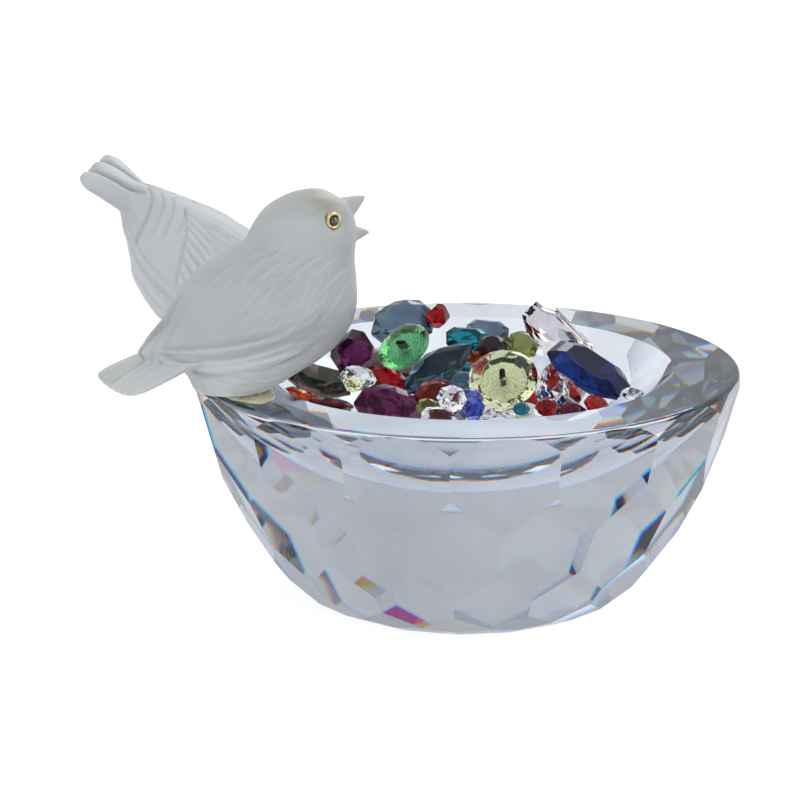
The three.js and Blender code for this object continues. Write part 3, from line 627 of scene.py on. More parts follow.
def make_bowl(settings):
    mesh = bowl_blank(settings.segments)
    cut_facets(mesh)
    bmesh.ops.dissolve_limit(
        mesh, angle_limit=math.radians(0.05), use_dissolve_boundaries=False, verts=mesh.verts,
        edges=mesh.edges, delimit=set(),
    )
    for face in mesh.faces:
        face.smooth = True
    for edge in mesh.edges:
        if len(edge.link_faces) == 2 and edge.calc_face_angle(0) > math.radians(FACET_EDGE_DEGREES):
            edge.smooth = False
    data = bpy.data.meshes.new("crystal_bowl")
    mesh.to_mesh(data)
    mesh.free()
    data.materials.append(crystal_material(settings))
    piece(link(bpy.data.objects.new("crystal_bowl", data)), "figurine", "crystal", "bowl")


# -------- the birds' shapes
def smooth_rows(rows, count):
    """Rows on a smooth curve through the given ones, as the frame's skins run."""
    rows = np.asarray(rows, float)
    last = len(rows) - 1
    out = []
    for s in np.linspace(0, last, count):
        i = min(int(s), last - 1)
        t = s - i
        p1, p2 = rows[i], rows[i + 1]
        before = rows[i - 1] if i > 0 else None
        after = rows[i + 2] if i + 2 <= last else None
        t2, t3 = t * t, t**3
        wp = 0.5 if before is not None else -0.5
        wn = 0.5 if after is not None else -0.5
        p0 = before if before is not None else p2
        p3 = after if after is not None else p1
        sp = -wp * t3 + 2 * wp * t2 - wp * t
        s0 = (1 + wp) * t3 + (-1.5 - 2 * wp) * t2 + (-0.5 + wp) * t + 1
        s1 = (-1 - wn) * t3 + (1.5 + wn) * t2 + 0.5 * t
        sn = wn * t3 - wn * t2
        out.append(sp * p0 + s0 * p1 + s1 * p2 + sn * p3)
    return np.array(out)


def skin(rows, count, sides, upright=False, shape=None):
    """A closed skin over oval sections. shape may move its points."""
    track = smooth_rows(rows, count)
    angles = np.arange(sides) / sides * 2 * np.pi
    place, low, high, half = (track[:, i : i + 1] for i in range(4))
    along = np.repeat(place, sides, 1)
    across = (low + high) / 2 - (high - low) / 2 * np.cos(angles)
    points = [np.stack((along, across, half * np.sin(angles)), -1).reshape(-1, 3)]
    for row in (track[0], track[-1]):
        points.append(np.array([[row[0], (row[1] + row[2]) / 2, 0]]))
    points = np.concatenate(points)
    if shape is not None:
        points = shape(points)
    a, c, s = points.T
    vertices = np.stack((c, -s, a), -1) if upright else np.stack((a, s, c), -1)
    faces = []
    first = count * sides
    end = (count - 1) * sides
    for k in range(sides):
        n = (k + 1) % sides
        for i in range(count - 1):
            faces.append((i * sides + k, (i + 1) * sides + k, (i + 1) * sides + n, i * sides + n))
        faces.append((first, k, n))
        faces.append((first + 1, end + n, end + k))
    return vertices, faces


def split_tail(name, points):
    """Shapes a tail's end: three even rounded lobes, or a broad fan a touch shorter on its far side."""
    along, _, side = points.T
    near = 1 - smoothstep(along.min() + 0.5, along.min() + 5.5, along)
    if name == "drinking":
        pull = (0.5 - 0.5 * np.cos(np.clip(side / 7.6, -1, 1) * 3 * np.pi)) * 1.7
    else:
        pull = smoothstep(-1.5, 1.0, side) * 0.1
    return points + np.outer(near * pull, (1, 0, 0))


def eye_matrix(bird, side):
    """Where an eye sits on the head, with Z looking straight out of it."""
    rows, rise = bird["body"], bird["eye_rise"]
    after = next(i for i, row in enumerate(rows) if row[0] > rise)
    lower, upper = np.array(rows[after - 1], float), np.array(rows[after], float)
    _, low, high, half = lower + (upper - lower) * (rise - lower[0]) / (upper[0] - lower[0])
    reach = (high - low) / 2
    angle = math.radians(bird["eye_around"])
    forward = (low + high) / 2 + reach * math.cos(angle)
    outward = Vector((half * math.cos(angle), side * reach * math.sin(angle), 0))
    place = Vector((forward, side * half * math.sin(angle), rise))
    if not bird["upright"]:
        place = Vector((rise, side * half * math.sin(angle), forward))
        outward = Vector((0, outward.y, outward.x))
    facing = Vector((0, 0, 1)).rotation_difference(outward.normalized())
    return Matrix.Translation(place) @ facing.to_matrix().to_4x4()


def perch_matrix(bird):
    """The bird's own frame, in millimetres, in the figurine's frame."""
    yaw = math.radians(bird["yaw"])
    place = around_axis(PERCH_RADIUS, math.radians(bird["around"]), SEAT_HEIGHT + bird["lift"])
    place -= Vector((math.cos(yaw), math.sin(yaw), 0)) * bird["back"]
    turn = (
        Matrix.Rotation(yaw, 4, "Z")
        @ Matrix.Rotation(math.radians(bird["pitch"]), 4, "Y")
        @ Matrix.Rotation(math.radians(bird["roll"]), 4, "X")
    )
    return Matrix.Translation(place) @ turn


def wing_frame(bird, side):
    turn = turn_matrix("Z", side * bird["wing_toe"]) @ turn_matrix("Y", -bird["wing_droop"])
    x, y, z = bird["wing_place"]
    return turn, np.array([x, side * y, z])


def rough_bird(name, bird, perch, grain_size):
    """Body, beaks, tail and wings joined under one even skin, cut flat where the bird sits."""
    body, body_faces = skin(bird["body"], *BODY_SKIN, bird["upright"])
    obj = mesh_object(name + "_bird_glass", body, body_faces)
    for rows in bird["beaks"]:
        boolean(obj, *skin(rows, *BEAK_SKIN), "UNION")
    square = [(x * SEAT_TOOL, y * SEAT_TOOL) for x, y in ((-1, -1), (1, -1), (1, 1), (-1, 1))]
    below, below_faces = prism(square, SEAT_HEIGHT - SEAT_TOOL, SEAT_HEIGHT)
    boolean(obj, placed(below, perch.inverted()), below_faces, "DIFFERENCE")
    tail, tail_faces = skin(bird["tail"], *TAIL_SKIN, shape=lambda points: split_tail(name, points))
    tail = tail @ turn_matrix("Y", -bird["tail_droop"]).T + np.array(bird["tail_place"])
    boolean(obj, tail, tail_faces, "UNION")
    wing, wing_faces = skin(bird["wing"], *WING_SKIN)
    for side in (-1, 1):
        turn, place = wing_frame(bird, side)
        boolean(obj, wing @ turn.T + place, wing_faces, "UNION")
    remesh = obj.modifiers.new("skin", "REMESH")
    remesh.mode = "VOXEL"
    remesh.voxel_size = grain_size
    remesh.use_smooth_shade = True
    apply_modifiers(obj)
    return obj


# -------- the birds' feathers
def scatter(points, allowed, rng, spacing, count):
    """Point numbers spread over the allowed part of a skin, each at least spacing from the others."""
    order = rng.permutation(np.flatnonzero(allowed))
    taken = []
    for index in order:
        if len(taken) == count:
            break
        if not taken or ((points[taken] - points[index]) ** 2).sum(1).min() > spacing**2:
            taken.append(index)
    return taken


def add_strokes(move, points, normals, chosen, flows, weight, length, width, depth):
    """Short soft feather strokes: each is a low ridge with a groove under it, and curves a little."""
    for index, flow in zip(chosen, flows):
        centre, normal = points[index], normals[index]
        flow = flow - normal * (flow @ normal)
        flow = flow / (np.linalg.norm(flow) + 1e-9)
        wide = np.cross(normal, flow)
        near = np.flatnonzero(((points - centre) ** 2).sum(1) < (2.4 * length) ** 2)
        away = points[near] - centre
        u = away @ flow
        w = away @ wide + 0.10 * u * u
        ridge = peak(w, width) - 0.85 * peak(w + 1.3 * width, 0.85 * width)
        facing = normals[near] @ normal > 0.2
        move[near] += peak(u, length) * ridge * depth * weight[near] * facing


def wing_lines(bird, points, depth):
    """The long flight feathers of both folded wings, and where on a wing each point lies."""
    move, wings = np.zeros(len(points)), np.zeros(len(points))
    across_all, along_all = np.zeros(len(points)), np.zeros(len(points))
    for side in (-1, 1):
        turn, place = wing_frame(bird, side)
        a, b, c = ((points - place) @ turn / np.array(bird["wing_half"])).T
        size = np.sqrt(a**2 + b**2 + c**2)
        on_wing = smoothstep(0.70, 0.86, size) * (1 - smoothstep(1.15, 1.3, size)) * (b * side > -0.05)
        on_wing *= smoothstep(-1.02, -0.86, a)
        across = c / np.sqrt(np.clip(1 - np.minimum(a**2, 0.97), 0.03, 1))
        part = ((across + 1) * WING_LANES / 2 - 0.16 * (a + 0.4) ** 2) % 1.0
        flight = part**1.6 * (1 - smoothstep(0.88, 1.0, part))
        reach = 1 - smoothstep(0.0, 0.55, a + 0.3 * across)
        low_side = 1 - smoothstep(-0.35, 0.2, across)
        move += on_wing * reach * low_side * (flight - 0.4) * depth
        edge = peak(across + 0.92, 0.10) - peak(across + 1.12, 0.10)
        move += on_wing * edge * (1 - smoothstep(0.3, 0.7, a)) * depth * 0.9
        better = on_wing > wings
        across_all = np.where(better, across, across_all)
        along_all = np.where(better, a, along_all)
        wings = np.maximum(wings, on_wing)
    return move, wings, along_all, across_all


def soft_strokes(name, move, points, normals, wings, along, across, depth):
    """Adds the short strokes of shoulder, breast, neck, belly and back to move."""
    x, y, z = points.T
    rng = np.random.default_rng(STROKE_SEEDS[name])
    shoulder = (wings > 0.4) & (along > 0.0) & (along < 0.95)
    chosen = scatter(points, shoulder, rng, 1.7, 90)
    # The drinking bird's wing has slots in place of the slanted shoulder feathers.
    if name == "singing":
        flows = [np.array([-0.75, 0.0, -0.55 - 0.4 * across[i]]) for i in chosen]
        add_strokes(move, points, normals, chosen, flows, np.ones(len(points)), 1.5, 0.30, depth * 0.6)
    body = 1 - wings
    bare = body > 0.7
    # Each group: where it lies, how many strokes, their spacing, and which way they run.
    if name == "singing":
        groups = (
            (bare & (z < 9) & (x > -12), 80, 1.8, (-0.9, 0, 0.05)),
            (bare & (z > 16) & (z < 25) & (x < 17), 70, 2.0, (-0.8, 0, -0.45)),
        )
    else:
        groups = (
            (bare & (x > -14) & (x < 16) & (z < 3), 70, 2.1, (-1.0, 0, 0.1)),
            (bare & (x > -4) & (x < 14) & (z >= 3), 40, 2.4, (-1.0, 0.2, 0.1)),
        )
    for allowed, count, spacing, flow in groups:
        chosen = scatter(points, allowed, rng, spacing, count)
        flows = [np.array(flow) * (1, np.sign(y[i]), 1) for i in chosen]
        add_strokes(move, points, normals, chosen, flows, body, 1.6, 0.32, depth * 0.8)


def tail_grooves(name, bird, points, depth):
    """How deep each point lies in the grooves between the tail feathers."""
    droop = turn_matrix("Y", -bird["tail_droop"])
    along, across, up = ((points - np.array(bird["tail_place"])) @ droop).T
    start, full, width, grooves = TAIL_GROOVES[name]
    spread = (np.abs(along) / 26) ** 0.9
    cut = np.zeros(len(points))
    for place, share in grooves:
        cut += peak(across - place * spread, width) * depth * share
    if name == "singing":
        cut += smoothstep(-0.9, 0.1, across + 0.6 * spread) * (up > 0) * 0.25
    return cut * (1 - smoothstep(full, start, along))


def rump_bands(points, depth):
    """How deep each point lies in the bands over the rump, the wing's edge and the slots ahead of it."""
    x, y, z = points.T
    turn = np.arctan2(np.abs(y), z - 2.0)
    cut = np.zeros(len(points))
    for place, share, first, last in RUMP_BANDS:
        line = x - place - 2.6 * turn + 0.55 * (turn - 1.0) ** 2
        shown = smoothstep(first, first + 0.2, turn) * (1 - smoothstep(last - 0.3, last, turn))
        cut += peak(line, 0.27) * shown * share
    edge = x + 10.5 - 5.2 * (turn - 0.35)
    shown = smoothstep(0.3, 0.45, turn) * (1 - smoothstep(1.75, 2.0, turn))
    cut += peak(edge, 0.3) * shown * 0.7
    reach = smoothstep(0.1, 0.7, edge) * (1 - smoothstep(4.0, 7.5, edge))
    for row in range(WING_SLOTS):
        away = turn - (0.48 + 0.19 * row) - 0.035 * edge
        cut += (peak(away, 0.032) - 0.7 * peak(away - 0.07, 0.04)) * reach * 0.6
    return cut * depth


def engrave(name, bird, points, normals, settings):
    """How far each point of a bird moves out, in millimetres: its feathers, tail grooves and fine strokes."""
    move, wings, along, across = wing_lines(bird, points, settings.feather_depth)
    if name == "drinking":
        move *= QUIET_WING
    soft_strokes(name, move, points, normals, wings, along, across, settings.stroke_depth)
    move -= tail_grooves(name, bird, points, settings.groove_depth)
    if name == "drinking":
        move -= rump_bands(points, settings.groove_depth)
    return move


def make_bird(name, settings):
    bird = BIRDS[name]
    perch = perch_matrix(bird)
    obj = rough_bird(name, bird, perch, settings.grain_size)
    mesh = obj.data
    points = read(mesh.vertices, "co", 3) / MM
    edges = read(mesh.edges, "vertices", 2, int)
    degree = np.bincount(edges.ravel(), minlength=len(points))[:, None]
    # The seat stays where it is and the beak nearly so, while the rest is smoothed and cut.
    level = placed(points, perch)[:, 2]
    over_rim = np.hypot(*placed(points, perch)[:, :2].T) < BOWL_RADIUS + 3
    seat = over_rim & (level < SEAT_HEIGHT + 0.25)
    free = 1 - seat[:, None].astype(float)
    free *= 1 - 0.85 * smoothstep(*BEAK_STARTS[name], points[:, :1])

    def relax(values, times, amount):
        for _ in range(times):
            total = np.zeros_like(values)
            np.add.at(total, edges[:, 0], values[edges[:, 1]])
            np.add.at(total, edges[:, 1], values[edges[:, 0]])
            values = values + free * amount * (total / degree - values)
        return values

    for _ in range(settings.softening):
        points = relax(points, 1, 0.55)
        points = relax(points, 1, -0.57)
    points = relax(points, 3, 0.5)
    mesh.vertices.foreach_set("co", (points * MM).ravel())
    mesh.update()
    normals = read(mesh.vertex_normals, "vector", 3)
    move = engrave(name, bird, points, normals, settings) * free[:, 0]
    points = relax(points + normals * move[:, None], 1, 0.3)
    low, high = (np.array(v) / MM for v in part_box(name + "_bird"))
    world = np.clip(placed(points, perch), low, high)
    world[seat, 2] = np.maximum(world[seat, 2], SEAT_HEIGHT)
    if name == "singing":
        # The belly and tail are thin; painted light makes them lighter, standing in for light from the
        # crystal that comes up into them.
        move = move + 0.35 * (1 - smoothstep(3.0, 11.0, points[:, 2]))
    # The relief attribute, the carved height plus the painted light above, sets the painted shade and light
    # of the satin colour.
    relief = mesh.attributes.new("relief", "FLOAT", "POINT")
    relief.data.foreach_set("value", move.astype(np.float32))
    mesh.vertices.foreach_set("co", (world * MM).ravel())
    mesh.update()
    turns = np.arange(SOCKET_SIDES) / SOCKET_SIDES * 2 * np.pi
    outline = (RING_RADIUS + GAP) * np.column_stack((np.cos(turns), np.sin(turns)))
    socket, socket_faces = prism(outline, -SOCKET_DEPTH, 2)
    for side in (-1, 1):
        boolean(obj, placed(socket, perch @ eye_matrix(bird, side)), socket_faces, "DIFFERENCE")
    obj.data.polygons.foreach_set("use_smooth", [True] * len(obj.data.polygons))
    # Both birds are one satin glass: the drinking bird's colour is painted lighter and bluer than the singing
    # bird's, as painted light and shade.
    color, crown = settings.rear_lighter_color, None
    if name == "singing":
        eye = (perch @ eye_matrix(bird, -1)).to_translation()
        stain = tuple(settings.crown_stain[:3])
        color, crown = settings.color, ((eye + Vector(CROWN_OFFSET)) * MM, CROWN_REACH * MM, stain)
    obj.data.materials.clear()
    obj.data.materials.append(satin_material(name + "_satin_glass", color, settings, crown))
    piece(obj, "figurine", "frosted_crystal", name + "_bird")


# -------- eyes and glue
def make_eyes(settings):
    gold, dark = gold_material(np.array(settings.gold)), eye_material()
    base = GAP - SOCKET_DEPTH
    top = base + RING_HEIGHT
    ring_half = (RING_RADIUS - RING_HOLE) / 2
    middle = (RING_RADIUS + RING_HOLE) / 2
    ring = [(RING_HOLE, base), (RING_RADIUS, base), (RING_RADIUS, top - 0.02)]
    for i in range(1, 10):
        angle = math.pi * i / 10
        ring.append((middle + ring_half * math.cos(angle), top + RING_CROWN * math.sin(angle)))
    ring.append((RING_HOLE, top - 0.02))
    bead_radius = RING_HOLE - GAP
    bead = [(0, base), (bead_radius, base)]
    for i in range(8):
        angle = i / 8 * math.pi / 2
        bead.append((bead_radius * math.cos(angle), top + EYE_DOME * math.sin(angle)))
    bead.append((0, top + EYE_DOME))
    kinds = (("ring", ring, gold, "gold"), ("bead", bead, dark, "eye_dark"))
    for name, bird in BIRDS.items():
        for word, side in (("right", -1), ("left", 1)):
            place = perch_matrix(bird) @ eye_matrix(bird, side)
            for kind, profile, material, slot in kinds:
                vertices, faces = turned(profile, settings.segments)
                obj = mesh_object(f"{name}_{kind}_{word}", placed(vertices, place), faces, material)
                face_outward(obj)
                obj.data.set_sharp_from_angle(angle=math.radians(40))
                piece(obj, "figurine", slot, f"{name}_eye_{kind}_{word}")


def glue_film(columns):
    """A thin lumpy film with a wavy edge, about Z, from the rim up to the bird."""
    waves = np.random.default_rng(3).uniform(0, 2 * np.pi, 6)
    turns = np.arange(columns) / columns * 2 * np.pi
    edge = 1 - 0.05 * (1 + np.sin(3 * turns + waves[0])) - 0.03 * (1 + np.sin(7 * turns + waves[1]))
    lumps = 0.12 * np.sin(5 * turns + waves[2]) + 0.08 * np.sin(11 * turns + waves[3])
    foot = BOWL_HEIGHT + GAP
    vertices, faces = [], []
    for upper in (False, True):
        for i in range(GLUE_RINGS):
            share = (i + 1) / GLUE_RINGS
            x = GLUE_LENGTH / 2 * share * edge * np.cos(turns)
            y = GLUE_WIDTH / 2 * share * edge * np.sin(turns)
            z = np.full(columns, foot + 0.06 * (share > 0.95))
            if upper:
                round_off = GLUE_THICKNESS * (1 - 0.55 * share**8)
                z = foot + round_off - 0.1 * (1 + lumps * share) * share**2
            vertices.append(np.column_stack((x, y, z)))
    vertices.append(np.array([[0, 0, foot], [0, 0, foot + GLUE_THICKNESS]]))
    half = GLUE_RINGS * columns
    outer = half - columns
    for k in range(columns):
        n = (k + 1) % columns
        for a in range(0, outer, columns):
            b = half + a
            faces.append((a + columns + k, a + columns + n, a + n, a + k))
            faces.append((b + k, b + n, b + columns + n, b + columns + k))
        faces.append((2 * half, n, k))
        faces.append((2 * half + 1, half + k, half + n))
        faces.append((outer + k, outer + n, half + outer + n, half + outer + k))
    return np.concatenate(vertices), faces


def make_glue(settings):
    material = glue_material(np.array(settings.color))
    film, faces = glue_film(settings.columns)
    for name, bird in BIRDS.items():
        angle = math.radians(bird["around"])
        turn = Matrix.Rotation(angle - math.pi / 2, 4, "Z")
        place = Matrix.Translation(around_axis(PERCH_RADIUS, angle)) @ turn
        obj = mesh_object(name + "_glue_film", placed(film, place), faces, material)
        face_outward(obj)
        piece(obj, "figurine", "glue", name + "_glue")


# -------- the stones
def stone_slots():
    """Each loose stone's node with the tint that its slot in the record names."""
    found = {}
    for part in frame["record"]["subparts"]:
        if part["material_slot"].startswith("stone_"):
            found[part["node"]] = part["material_slot"].removeprefix("stone_")
    return found


def button_slot(half_length, half_width, degrees):
    """The outline of a slot with round ends, turned."""
    outline = []
    for k in range(SLOT_SIDES):
        angle = 2 * math.pi * k / SLOT_SIDES
        end = 0 if abs(math.sin(angle)) < 1e-6 else math.copysign(half_length - half_width, math.sin(angle))
        outline.append((half_width * math.cos(angle), half_width * math.sin(angle) + end))
    spin = math.radians(degrees)
    turn = np.array([[math.cos(spin), math.sin(spin)], [-math.sin(spin), math.cos(spin)]])
    return np.array(outline) @ turn


def make_button(node, tint, glass, bore):
    """A flat round button stone: a glass rim cut in kites, a flat table, a slot and a foiled back."""
    body, (width, height, lean, toward, slot_turn), shine = BUTTONS[node]
    mesh = bmesh.new()
    for count, share, level, turn in BUTTON_RINGS:
        for k in range(count):
            angle = 2 * math.pi * (k + turn) / count
            radius = width / 2 * share
            mesh.verts.new((radius * math.cos(angle), radius * math.sin(angle), level * height))
    hull = bmesh.ops.convex_hull(mesh, input=mesh.verts)
    inside = [v for v in hull["geom_interior"] if isinstance(v, bmesh.types.BMVert)]
    bmesh.ops.delete(mesh, geom=inside, context="VERTS")
    bmesh.ops.dissolve_limit(mesh, angle_limit=math.radians(0.5), verts=mesh.verts, edges=mesh.edges)
    bmesh.ops.recalc_face_normals(mesh, faces=mesh.faces)
    mesh.verts.index_update()
    vertices = [v.co.copy() for v in mesh.verts]
    faces = [tuple(v.index for v in f.verts) for f in mesh.faces]
    mesh.free()
    obj = mesh_object(node + "_cut", vertices, faces, smooth=False)
    half_length = 0.105 * width
    outline = button_slot(half_length, 0.042 * width, slot_turn)
    boolean(obj, *prism(outline, -height, height), "DIFFERENCE")
    data = obj.data
    data.materials.clear()
    for material in (glass, foil_material(tint, shine), bore):
        data.materials.append(material)
    for face in data.polygons:
        away = Vector((face.center.x, face.center.y, 0)).length / MM
        face.use_smooth = False
        if away < half_length * 1.02 and abs(face.normal.z) < 0.2:
            face.material_index = 2
        elif face.normal.z < -0.95:
            face.material_index = 1
        else:
            face.material_index = 0
    low, high = (np.array(v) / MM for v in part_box(node))
    lean = math.radians(lean)
    facing = around_axis(math.sin(lean), math.radians(toward), math.cos(lean))
    tip = Vector((0, 0, 1)).rotation_difference(facing).to_matrix().to_4x4()
    place = Matrix.Translation((low + high) / 2) @ tip
    data.transform(Matrix.Scale(MM, 4) @ place @ Matrix.Scale(1 / MM, 4))
    piece(obj, body, "stone_" + tint, node)
    bevel_edges(obj, BUTTON_EDGE * MM)


def make_stones(settings):
    materials = {}
    bore = bore_material()
    for node, tint in stone_slots().items():
        if tint not in materials:
            materials[tint] = stone_material(tint, settings)
        if node in BUTTONS:
            make_button(node, tint, materials[tint], bore)
            continue
        obj = frame["nodes"][node]
        obj.data.materials.clear()
        obj.data.materials.append(materials[tint])
        bevel_edges(obj, settings.edge)


# -------- the stage
def seen_rays(tree):
    """A light path's outputs, and 1 for camera, glossy and transmission rays but 0 for diffuse ones."""
    path = add_node(tree, "ShaderNodeLightPath").outputs
    seen = path["Is Camera Ray"]
    for ray in ("Is Glossy Ray", "Is Transmission Ray"):
        seen = math_node(tree, "MAXIMUM", seen, path[ray])
    return path, seen


def make_world(settings):
    """White air: at full strength where it is seen, and at the set strength where it lights the object."""
    world = bpy.data.worlds.new("studio_air")
    world.use_nodes = True
    tree = world.node_tree
    tree.nodes.clear()
    _, seen = seen_rays(tree)
    span = {"Value": seen, "To Min": settings.air, "To Max": 1.0}
    strength = add_node(tree, "ShaderNodeMapRange", span).outputs["Result"]
    back = add_node(tree, "ShaderNodeBackground", {"Color": (1, 1, 1, 1), "Strength": strength})
    add_node(tree, "ShaderNodeOutputWorld", {"Surface": back.outputs["Background"]})
    bpy.context.scene.world = world


def stage_sheet(name, width, height, level, material):
    """A flat rectangle of the stage, in metres."""
    w, h = width / 2, height / 2
    mesh = bpy.data.meshes.new(name)
    mesh.from_pydata([(-w, -h, level), (w, -h, level), (w, h, level), (-w, h, level)], [], [(0, 1, 2, 3)])
    mesh.materials.append(material)
    obj = link(bpy.data.objects.new(name, mesh))
    return obj


def make_floor(settings):
    """A plain pale floor that keeps its shadow, with a little white added where it is seen."""
    material, tree, output = empty_material("pale_floor")
    path, seen = seen_rays(tree)
    # Light that the crystal would throw on the floor under it is put back where glass looks at the floor.
    more = settings.glass_glow / settings.floor_glow
    through = math_node(tree, "MULTIPLY", path["Is Transmission Ray"], more)
    shown = math_node(tree, "MAXIMUM", through, seen)
    amount = math_node(tree, "MULTIPLY", shown, settings.floor_glow)
    matt = add_node(tree, "ShaderNodeBsdfDiffuse", {"Color": (*grey(settings.floor), 1)}).outputs[0]
    glow = add_node(tree, "ShaderNodeEmission", {"Color": (1, 1, 1, 1), "Strength": amount}).outputs[0]
    fill(output, {"Surface": add_shaders(tree, matt, glow)})
    stage_sheet("studio_floor", FLOOR_SIZE, FLOOR_SIZE, FLOOR_LEVEL, material)


def point_at(obj, place, target):
    obj.location = place
    obj.rotation_euler = (Vector(target) - Vector(place)).to_track_quat("-Z", "Y").to_euler()


def make_lamp(name, place, size, power, in_glass, in_shine):
    data = bpy.data.lights.new(name, "AREA")
    data.shape = "RECTANGLE"
    data.size, data.size_y = size
    data.energy = power
    lamp = link(bpy.data.objects.new(name, data))
    point_at(lamp, place, MIDDLE)
    lamp.visible_transmission = in_glass
    lamp.visible_glossy = in_shine


def make_card(name, place, size, shade, glow=0.0):
    """A board beside the set for dark lines in clear glass, or a glowing paper that paints coloured glints in
    it. It isn't seen itself.
    """
    material, tree, output = empty_material(name)
    if glow > 0:
        face = add_node(tree, "ShaderNodeEmission", {"Color": (*shade, 1), "Strength": glow})
    else:
        face = add_node(tree, "ShaderNodeBsdfDiffuse", {"Color": (*shade, 1)})
    fill(output, {"Surface": face.outputs[0]})
    card = stage_sheet(name, *size, 0, material)
    point_at(card, place, MIDDLE)
    card.visible_camera = False
    card.visible_diffuse = False
    card.visible_shadow = False
    return card


def make_camera(settings):
    data = bpy.data.cameras.new("camera")
    data.sensor_width = 36
    data.lens = settings.lens
    data.clip_start, data.clip_end = 0.01, 20
    camera = link(bpy.data.objects.new("camera", data))
    rise, away = math.radians(settings.camera_rise), settings.camera_away
    place = (0, -away * math.cos(rise), BOWL_HEIGHT * MM + away * math.sin(rise))
    point_at(camera, place, CAMERA_TARGET)
    bpy.context.scene.camera = camera


def make_stage(settings):
    bpy.context.scene.view_settings.view_transform = "Standard"
    make_world(settings)
    make_floor(settings)
    for name, place, size, power, in_glass, in_shine in LAMPS:
        make_lamp(name, place, size, getattr(settings, power), in_glass, in_shine)
    for name, place, size in BOARDS:
        make_card(name, place, size, grey(BOARD_SHADE))
    # The glowing papers paint the crystal's coloured glints.
    for name, place, side, shade, glow in GLINTS:
        paper = make_card(name, place, (side, side), shade, glow)
        paper.visible_glossy = False
    make_camera(settings)


# -------- settings
def color_setting(name, description, default):
    return FloatVectorProperty(
        name=name, description=description, default=default, subtype="COLOR", size=3, min=0, max=1
    )


class BowlSettings(bpy.types.PropertyGroup):
    segments: IntProperty(
        name="Segments", description="Sides of the turned dish and rim", default=192, min=48
    )
    ior: FloatProperty(name="IOR", description="How strongly the crystal bends light", default=1.54)
    dispersion: FloatProperty(name="Dispersion", description="IOR from red to blue light", default=0.035)
    # Tint: partly the crystal's own cool colour, mostly painted shade for the darker room seen through it.
    tint: color_setting("Tint", "Cool tint of the crystal", (0.43, 0.46, 0.51))
    passed_light: color_setting("Passed Light", "Soft light that goes through each face", (0.92, 0.925, 0.93))


class BirdSettings(bpy.types.PropertyGroup):
    grain_size: FloatProperty(
        name="Mesh Size", description="Size of the faces of a bird's skin", default=0.00036, unit="LENGTH",
        precision=5,
    )
    softening: IntProperty(
        name="Softening", description="Rounds of smoothing before the feathers are cut", default=9
    )
    feather_depth: FloatProperty(
        name="Feather Depth", description="Depth of the wing feathers, in millimetres", default=0.6
    )
    stroke_depth: FloatProperty(
        name="Stroke Depth", description="Height of the soft body strokes, in millimetres", default=0.22
    )
    groove_depth: FloatProperty(
        name="Groove Depth", description="Depth of the tail grooves, in millimetres", default=0.4
    )
    clearness: FloatProperty(
        name="Clearness", description="Share of light that passes the satin glass", default=0.3
    )
    milkiness: FloatProperty(
        name="Milkiness", description="Share of light scattered inside the satin glass", default=0.3
    )
    # One satin glass in two copies: the singing bird's painted darker as shade, the drinking bird's painted
    # lighter as light.
    color: color_setting("Color", "Colour of the singing bird's satin glass", (0.47, 0.49, 0.50))
    rear_lighter_color: color_setting("Rear Color", "Colour of the drinking bird's satin glass", (0.52, 0.54, 0.575))
    crown_stain: color_setting(
        "Crown Stain", "Colour rubbed in over the singing bird's eye", (0.25, 0.235, 0.13)
    )


class EyeSettings(bpy.types.PropertyGroup):
    segments: IntProperty(
        name="Segments", description="Sides of the turned rings and beads", default=48, min=12
    )
    gold: color_setting("Gold", "Colour of the worn gold rings", (0.72, 0.60, 0.33))


class GlueSettings(bpy.types.PropertyGroup):
    columns: IntProperty(
        name="Columns", description="Points around the edge of a glue film", default=96, min=24
    )
    color: color_setting("Color", "Colour of the aged glue", (0.80, 0.74, 0.50))


class StoneSettings(bpy.types.PropertyGroup):
    clearness: FloatProperty(
        name="Clearness", description="Share of light that passes a coloured stone", default=0.9, min=0, max=1
    )
    surface_shine: FloatProperty(
        name="Surface Shine", description="How strongly the polished tables mirror the room", default=0.2,
        min=0, max=1,
    )
    ior: FloatProperty(name="IOR", description="How strongly the stones bend light", default=1.52)
    edge: FloatProperty(
        name="Edge Width", description="Width of the polished edges", default=0.00009, unit="LENGTH",
        precision=5,
    )


class StageSettings(bpy.types.PropertyGroup):
    air: FloatProperty(
        name="Air", description="Strength of the even light from all around", default=0.9
    )
    floor: FloatProperty(name="Floor", description="Brightness of the floor's colour", default=0.86)
    glass_glow: FloatProperty(
        name="Glass Glow", description="White added to the floor as glass shows it", default=0.9
    )
    floor_glow: FloatProperty(
        name="Floor Glow", description="White added to the floor as it is seen", default=0.22
    )
    key: FloatProperty(name="Key Lamp", description="Power of the key lamp", default=1.2, unit="POWER")
    fill: FloatProperty(name="Fill Lamps", description="Power of each fill lamp", default=1.8, unit="POWER")
    low: FloatProperty(
        name="Low Lamp", description="Power of the lamp near the floor", default=1.7, unit="POWER"
    )
    lens: FloatProperty(name="Lens", description="Focal length, in millimetres", default=172.8)
    camera_rise: FloatProperty(
        name="Camera Rise", description="Height angle of the camera, in degrees", default=14.3
    )
    camera_away: FloatProperty(
        name="Camera Distance", description="From the middle of the rim", default=0.68, unit="LENGTH"
    )


# -------- operators
class FIGURINE_OT_stage(bpy.types.Operator):
    """Sets up the floor, soft lamps, boards and camera"""
    bl_idname = "figurine.make_stage"
    bl_label = "Make Stage"

    def execute(self, context):
        make_stage(context.scene.figurine_stage)
        return {"FINISHED"}


class FIGURINE_OT_bowl(bpy.types.Operator):
    """Builds the facet-cut crystal bowl"""
    bl_idname = "figurine.make_bowl"
    bl_label = "Make Bowl"

    def execute(self, context):
        make_bowl(context.scene.figurine_bowl)
        return {"FINISHED"}


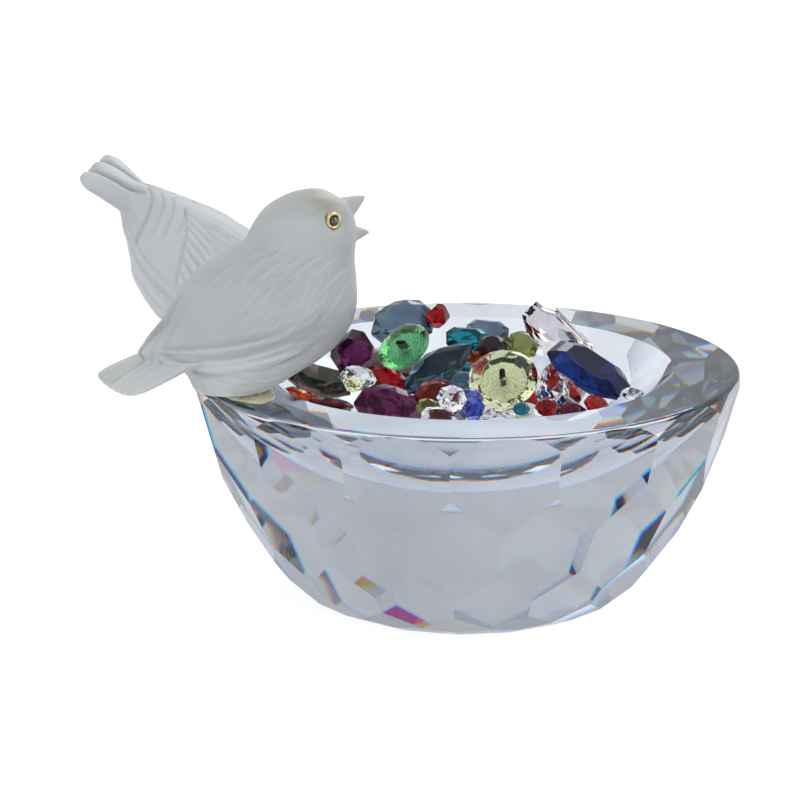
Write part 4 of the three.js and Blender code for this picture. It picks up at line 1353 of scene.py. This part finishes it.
class FIGURINE_OT_birds(bpy.types.Operator):
    """Builds the singing bird and the drinking bird"""
    bl_idname = "figurine.make_birds"
    bl_label = "Make Birds"

    def execute(self, context):
        for name in BIRDS:
            make_bird(name, context.scene.figurine_birds)
        return {"FINISHED"}


class FIGURINE_OT_eyes(bpy.types.Operator):
    """Builds the gold eye rings and their dark beads"""
    bl_idname = "figurine.make_eyes"
    bl_label = "Make Eyes"

    def execute(self, context):
        make_eyes(context.scene.figurine_eyes)
        return {"FINISHED"}


class FIGURINE_OT_glue(bpy.types.Operator):
    """Builds the films of glue under the birds"""
    bl_idname = "figurine.make_glue"
    bl_label = "Make Glue"

    def execute(self, context):
        make_glue(context.scene.figurine_glue)
        return {"FINISHED"}


class FIGURINE_OT_stones(bpy.types.Operator):
    """Polishes and colours the loose cut stones, and cuts the button stones"""
    bl_idname = "figurine.make_stones"
    bl_label = "Make Stones"

    def execute(self, context):
        make_stones(context.scene.figurine_stones)
        return {"FINISHED"}


OPERATORS = (
    FIGURINE_OT_stage, FIGURINE_OT_bowl, FIGURINE_OT_birds, FIGURINE_OT_eyes, FIGURINE_OT_glue,
    FIGURINE_OT_stones,
)


class FIGURINE_PT_panel(bpy.types.Panel):
    """Lists the pieces of the figurine"""
    bl_idname = "FIGURINE_PT_panel"
    bl_label = "Crystal Bird Figurine"
    bl_space_type = "VIEW_3D"
    bl_region_type = "UI"
    bl_category = "Figurine"

    def draw(self, context):
        for operator in OPERATORS:
            self.layout.operator(operator.bl_idname)


SETTINGS = {
    "figurine_stage": StageSettings,
    "figurine_bowl": BowlSettings,
    "figurine_birds": BirdSettings,
    "figurine_eyes": EyeSettings,
    "figurine_glue": GlueSettings,
    "figurine_stones": StoneSettings,
}
CLASSES = (*SETTINGS.values(), *OPERATORS, FIGURINE_PT_panel)


def register():
    for cls in CLASSES:
        bpy.utils.register_class(cls)
    for name, group in SETTINGS.items():
        setattr(bpy.types.Scene, name, PointerProperty(type=group))


def unregister():
    for name in SETTINGS:
        delattr(bpy.types.Scene, name)
    for cls in reversed(CLASSES):
        bpy.utils.unregister_class(cls)


def main():
    register()
    bpy.ops.figurine.make_stage()
    bpy.ops.figurine.make_bowl()
    bpy.ops.figurine.make_birds()
    bpy.ops.figurine.make_eyes()
    bpy.ops.figurine.make_glue()
    bpy.ops.figurine.make_stones()
    bpy.context.view_layer.update()


if __name__ == "__main__":
    main()
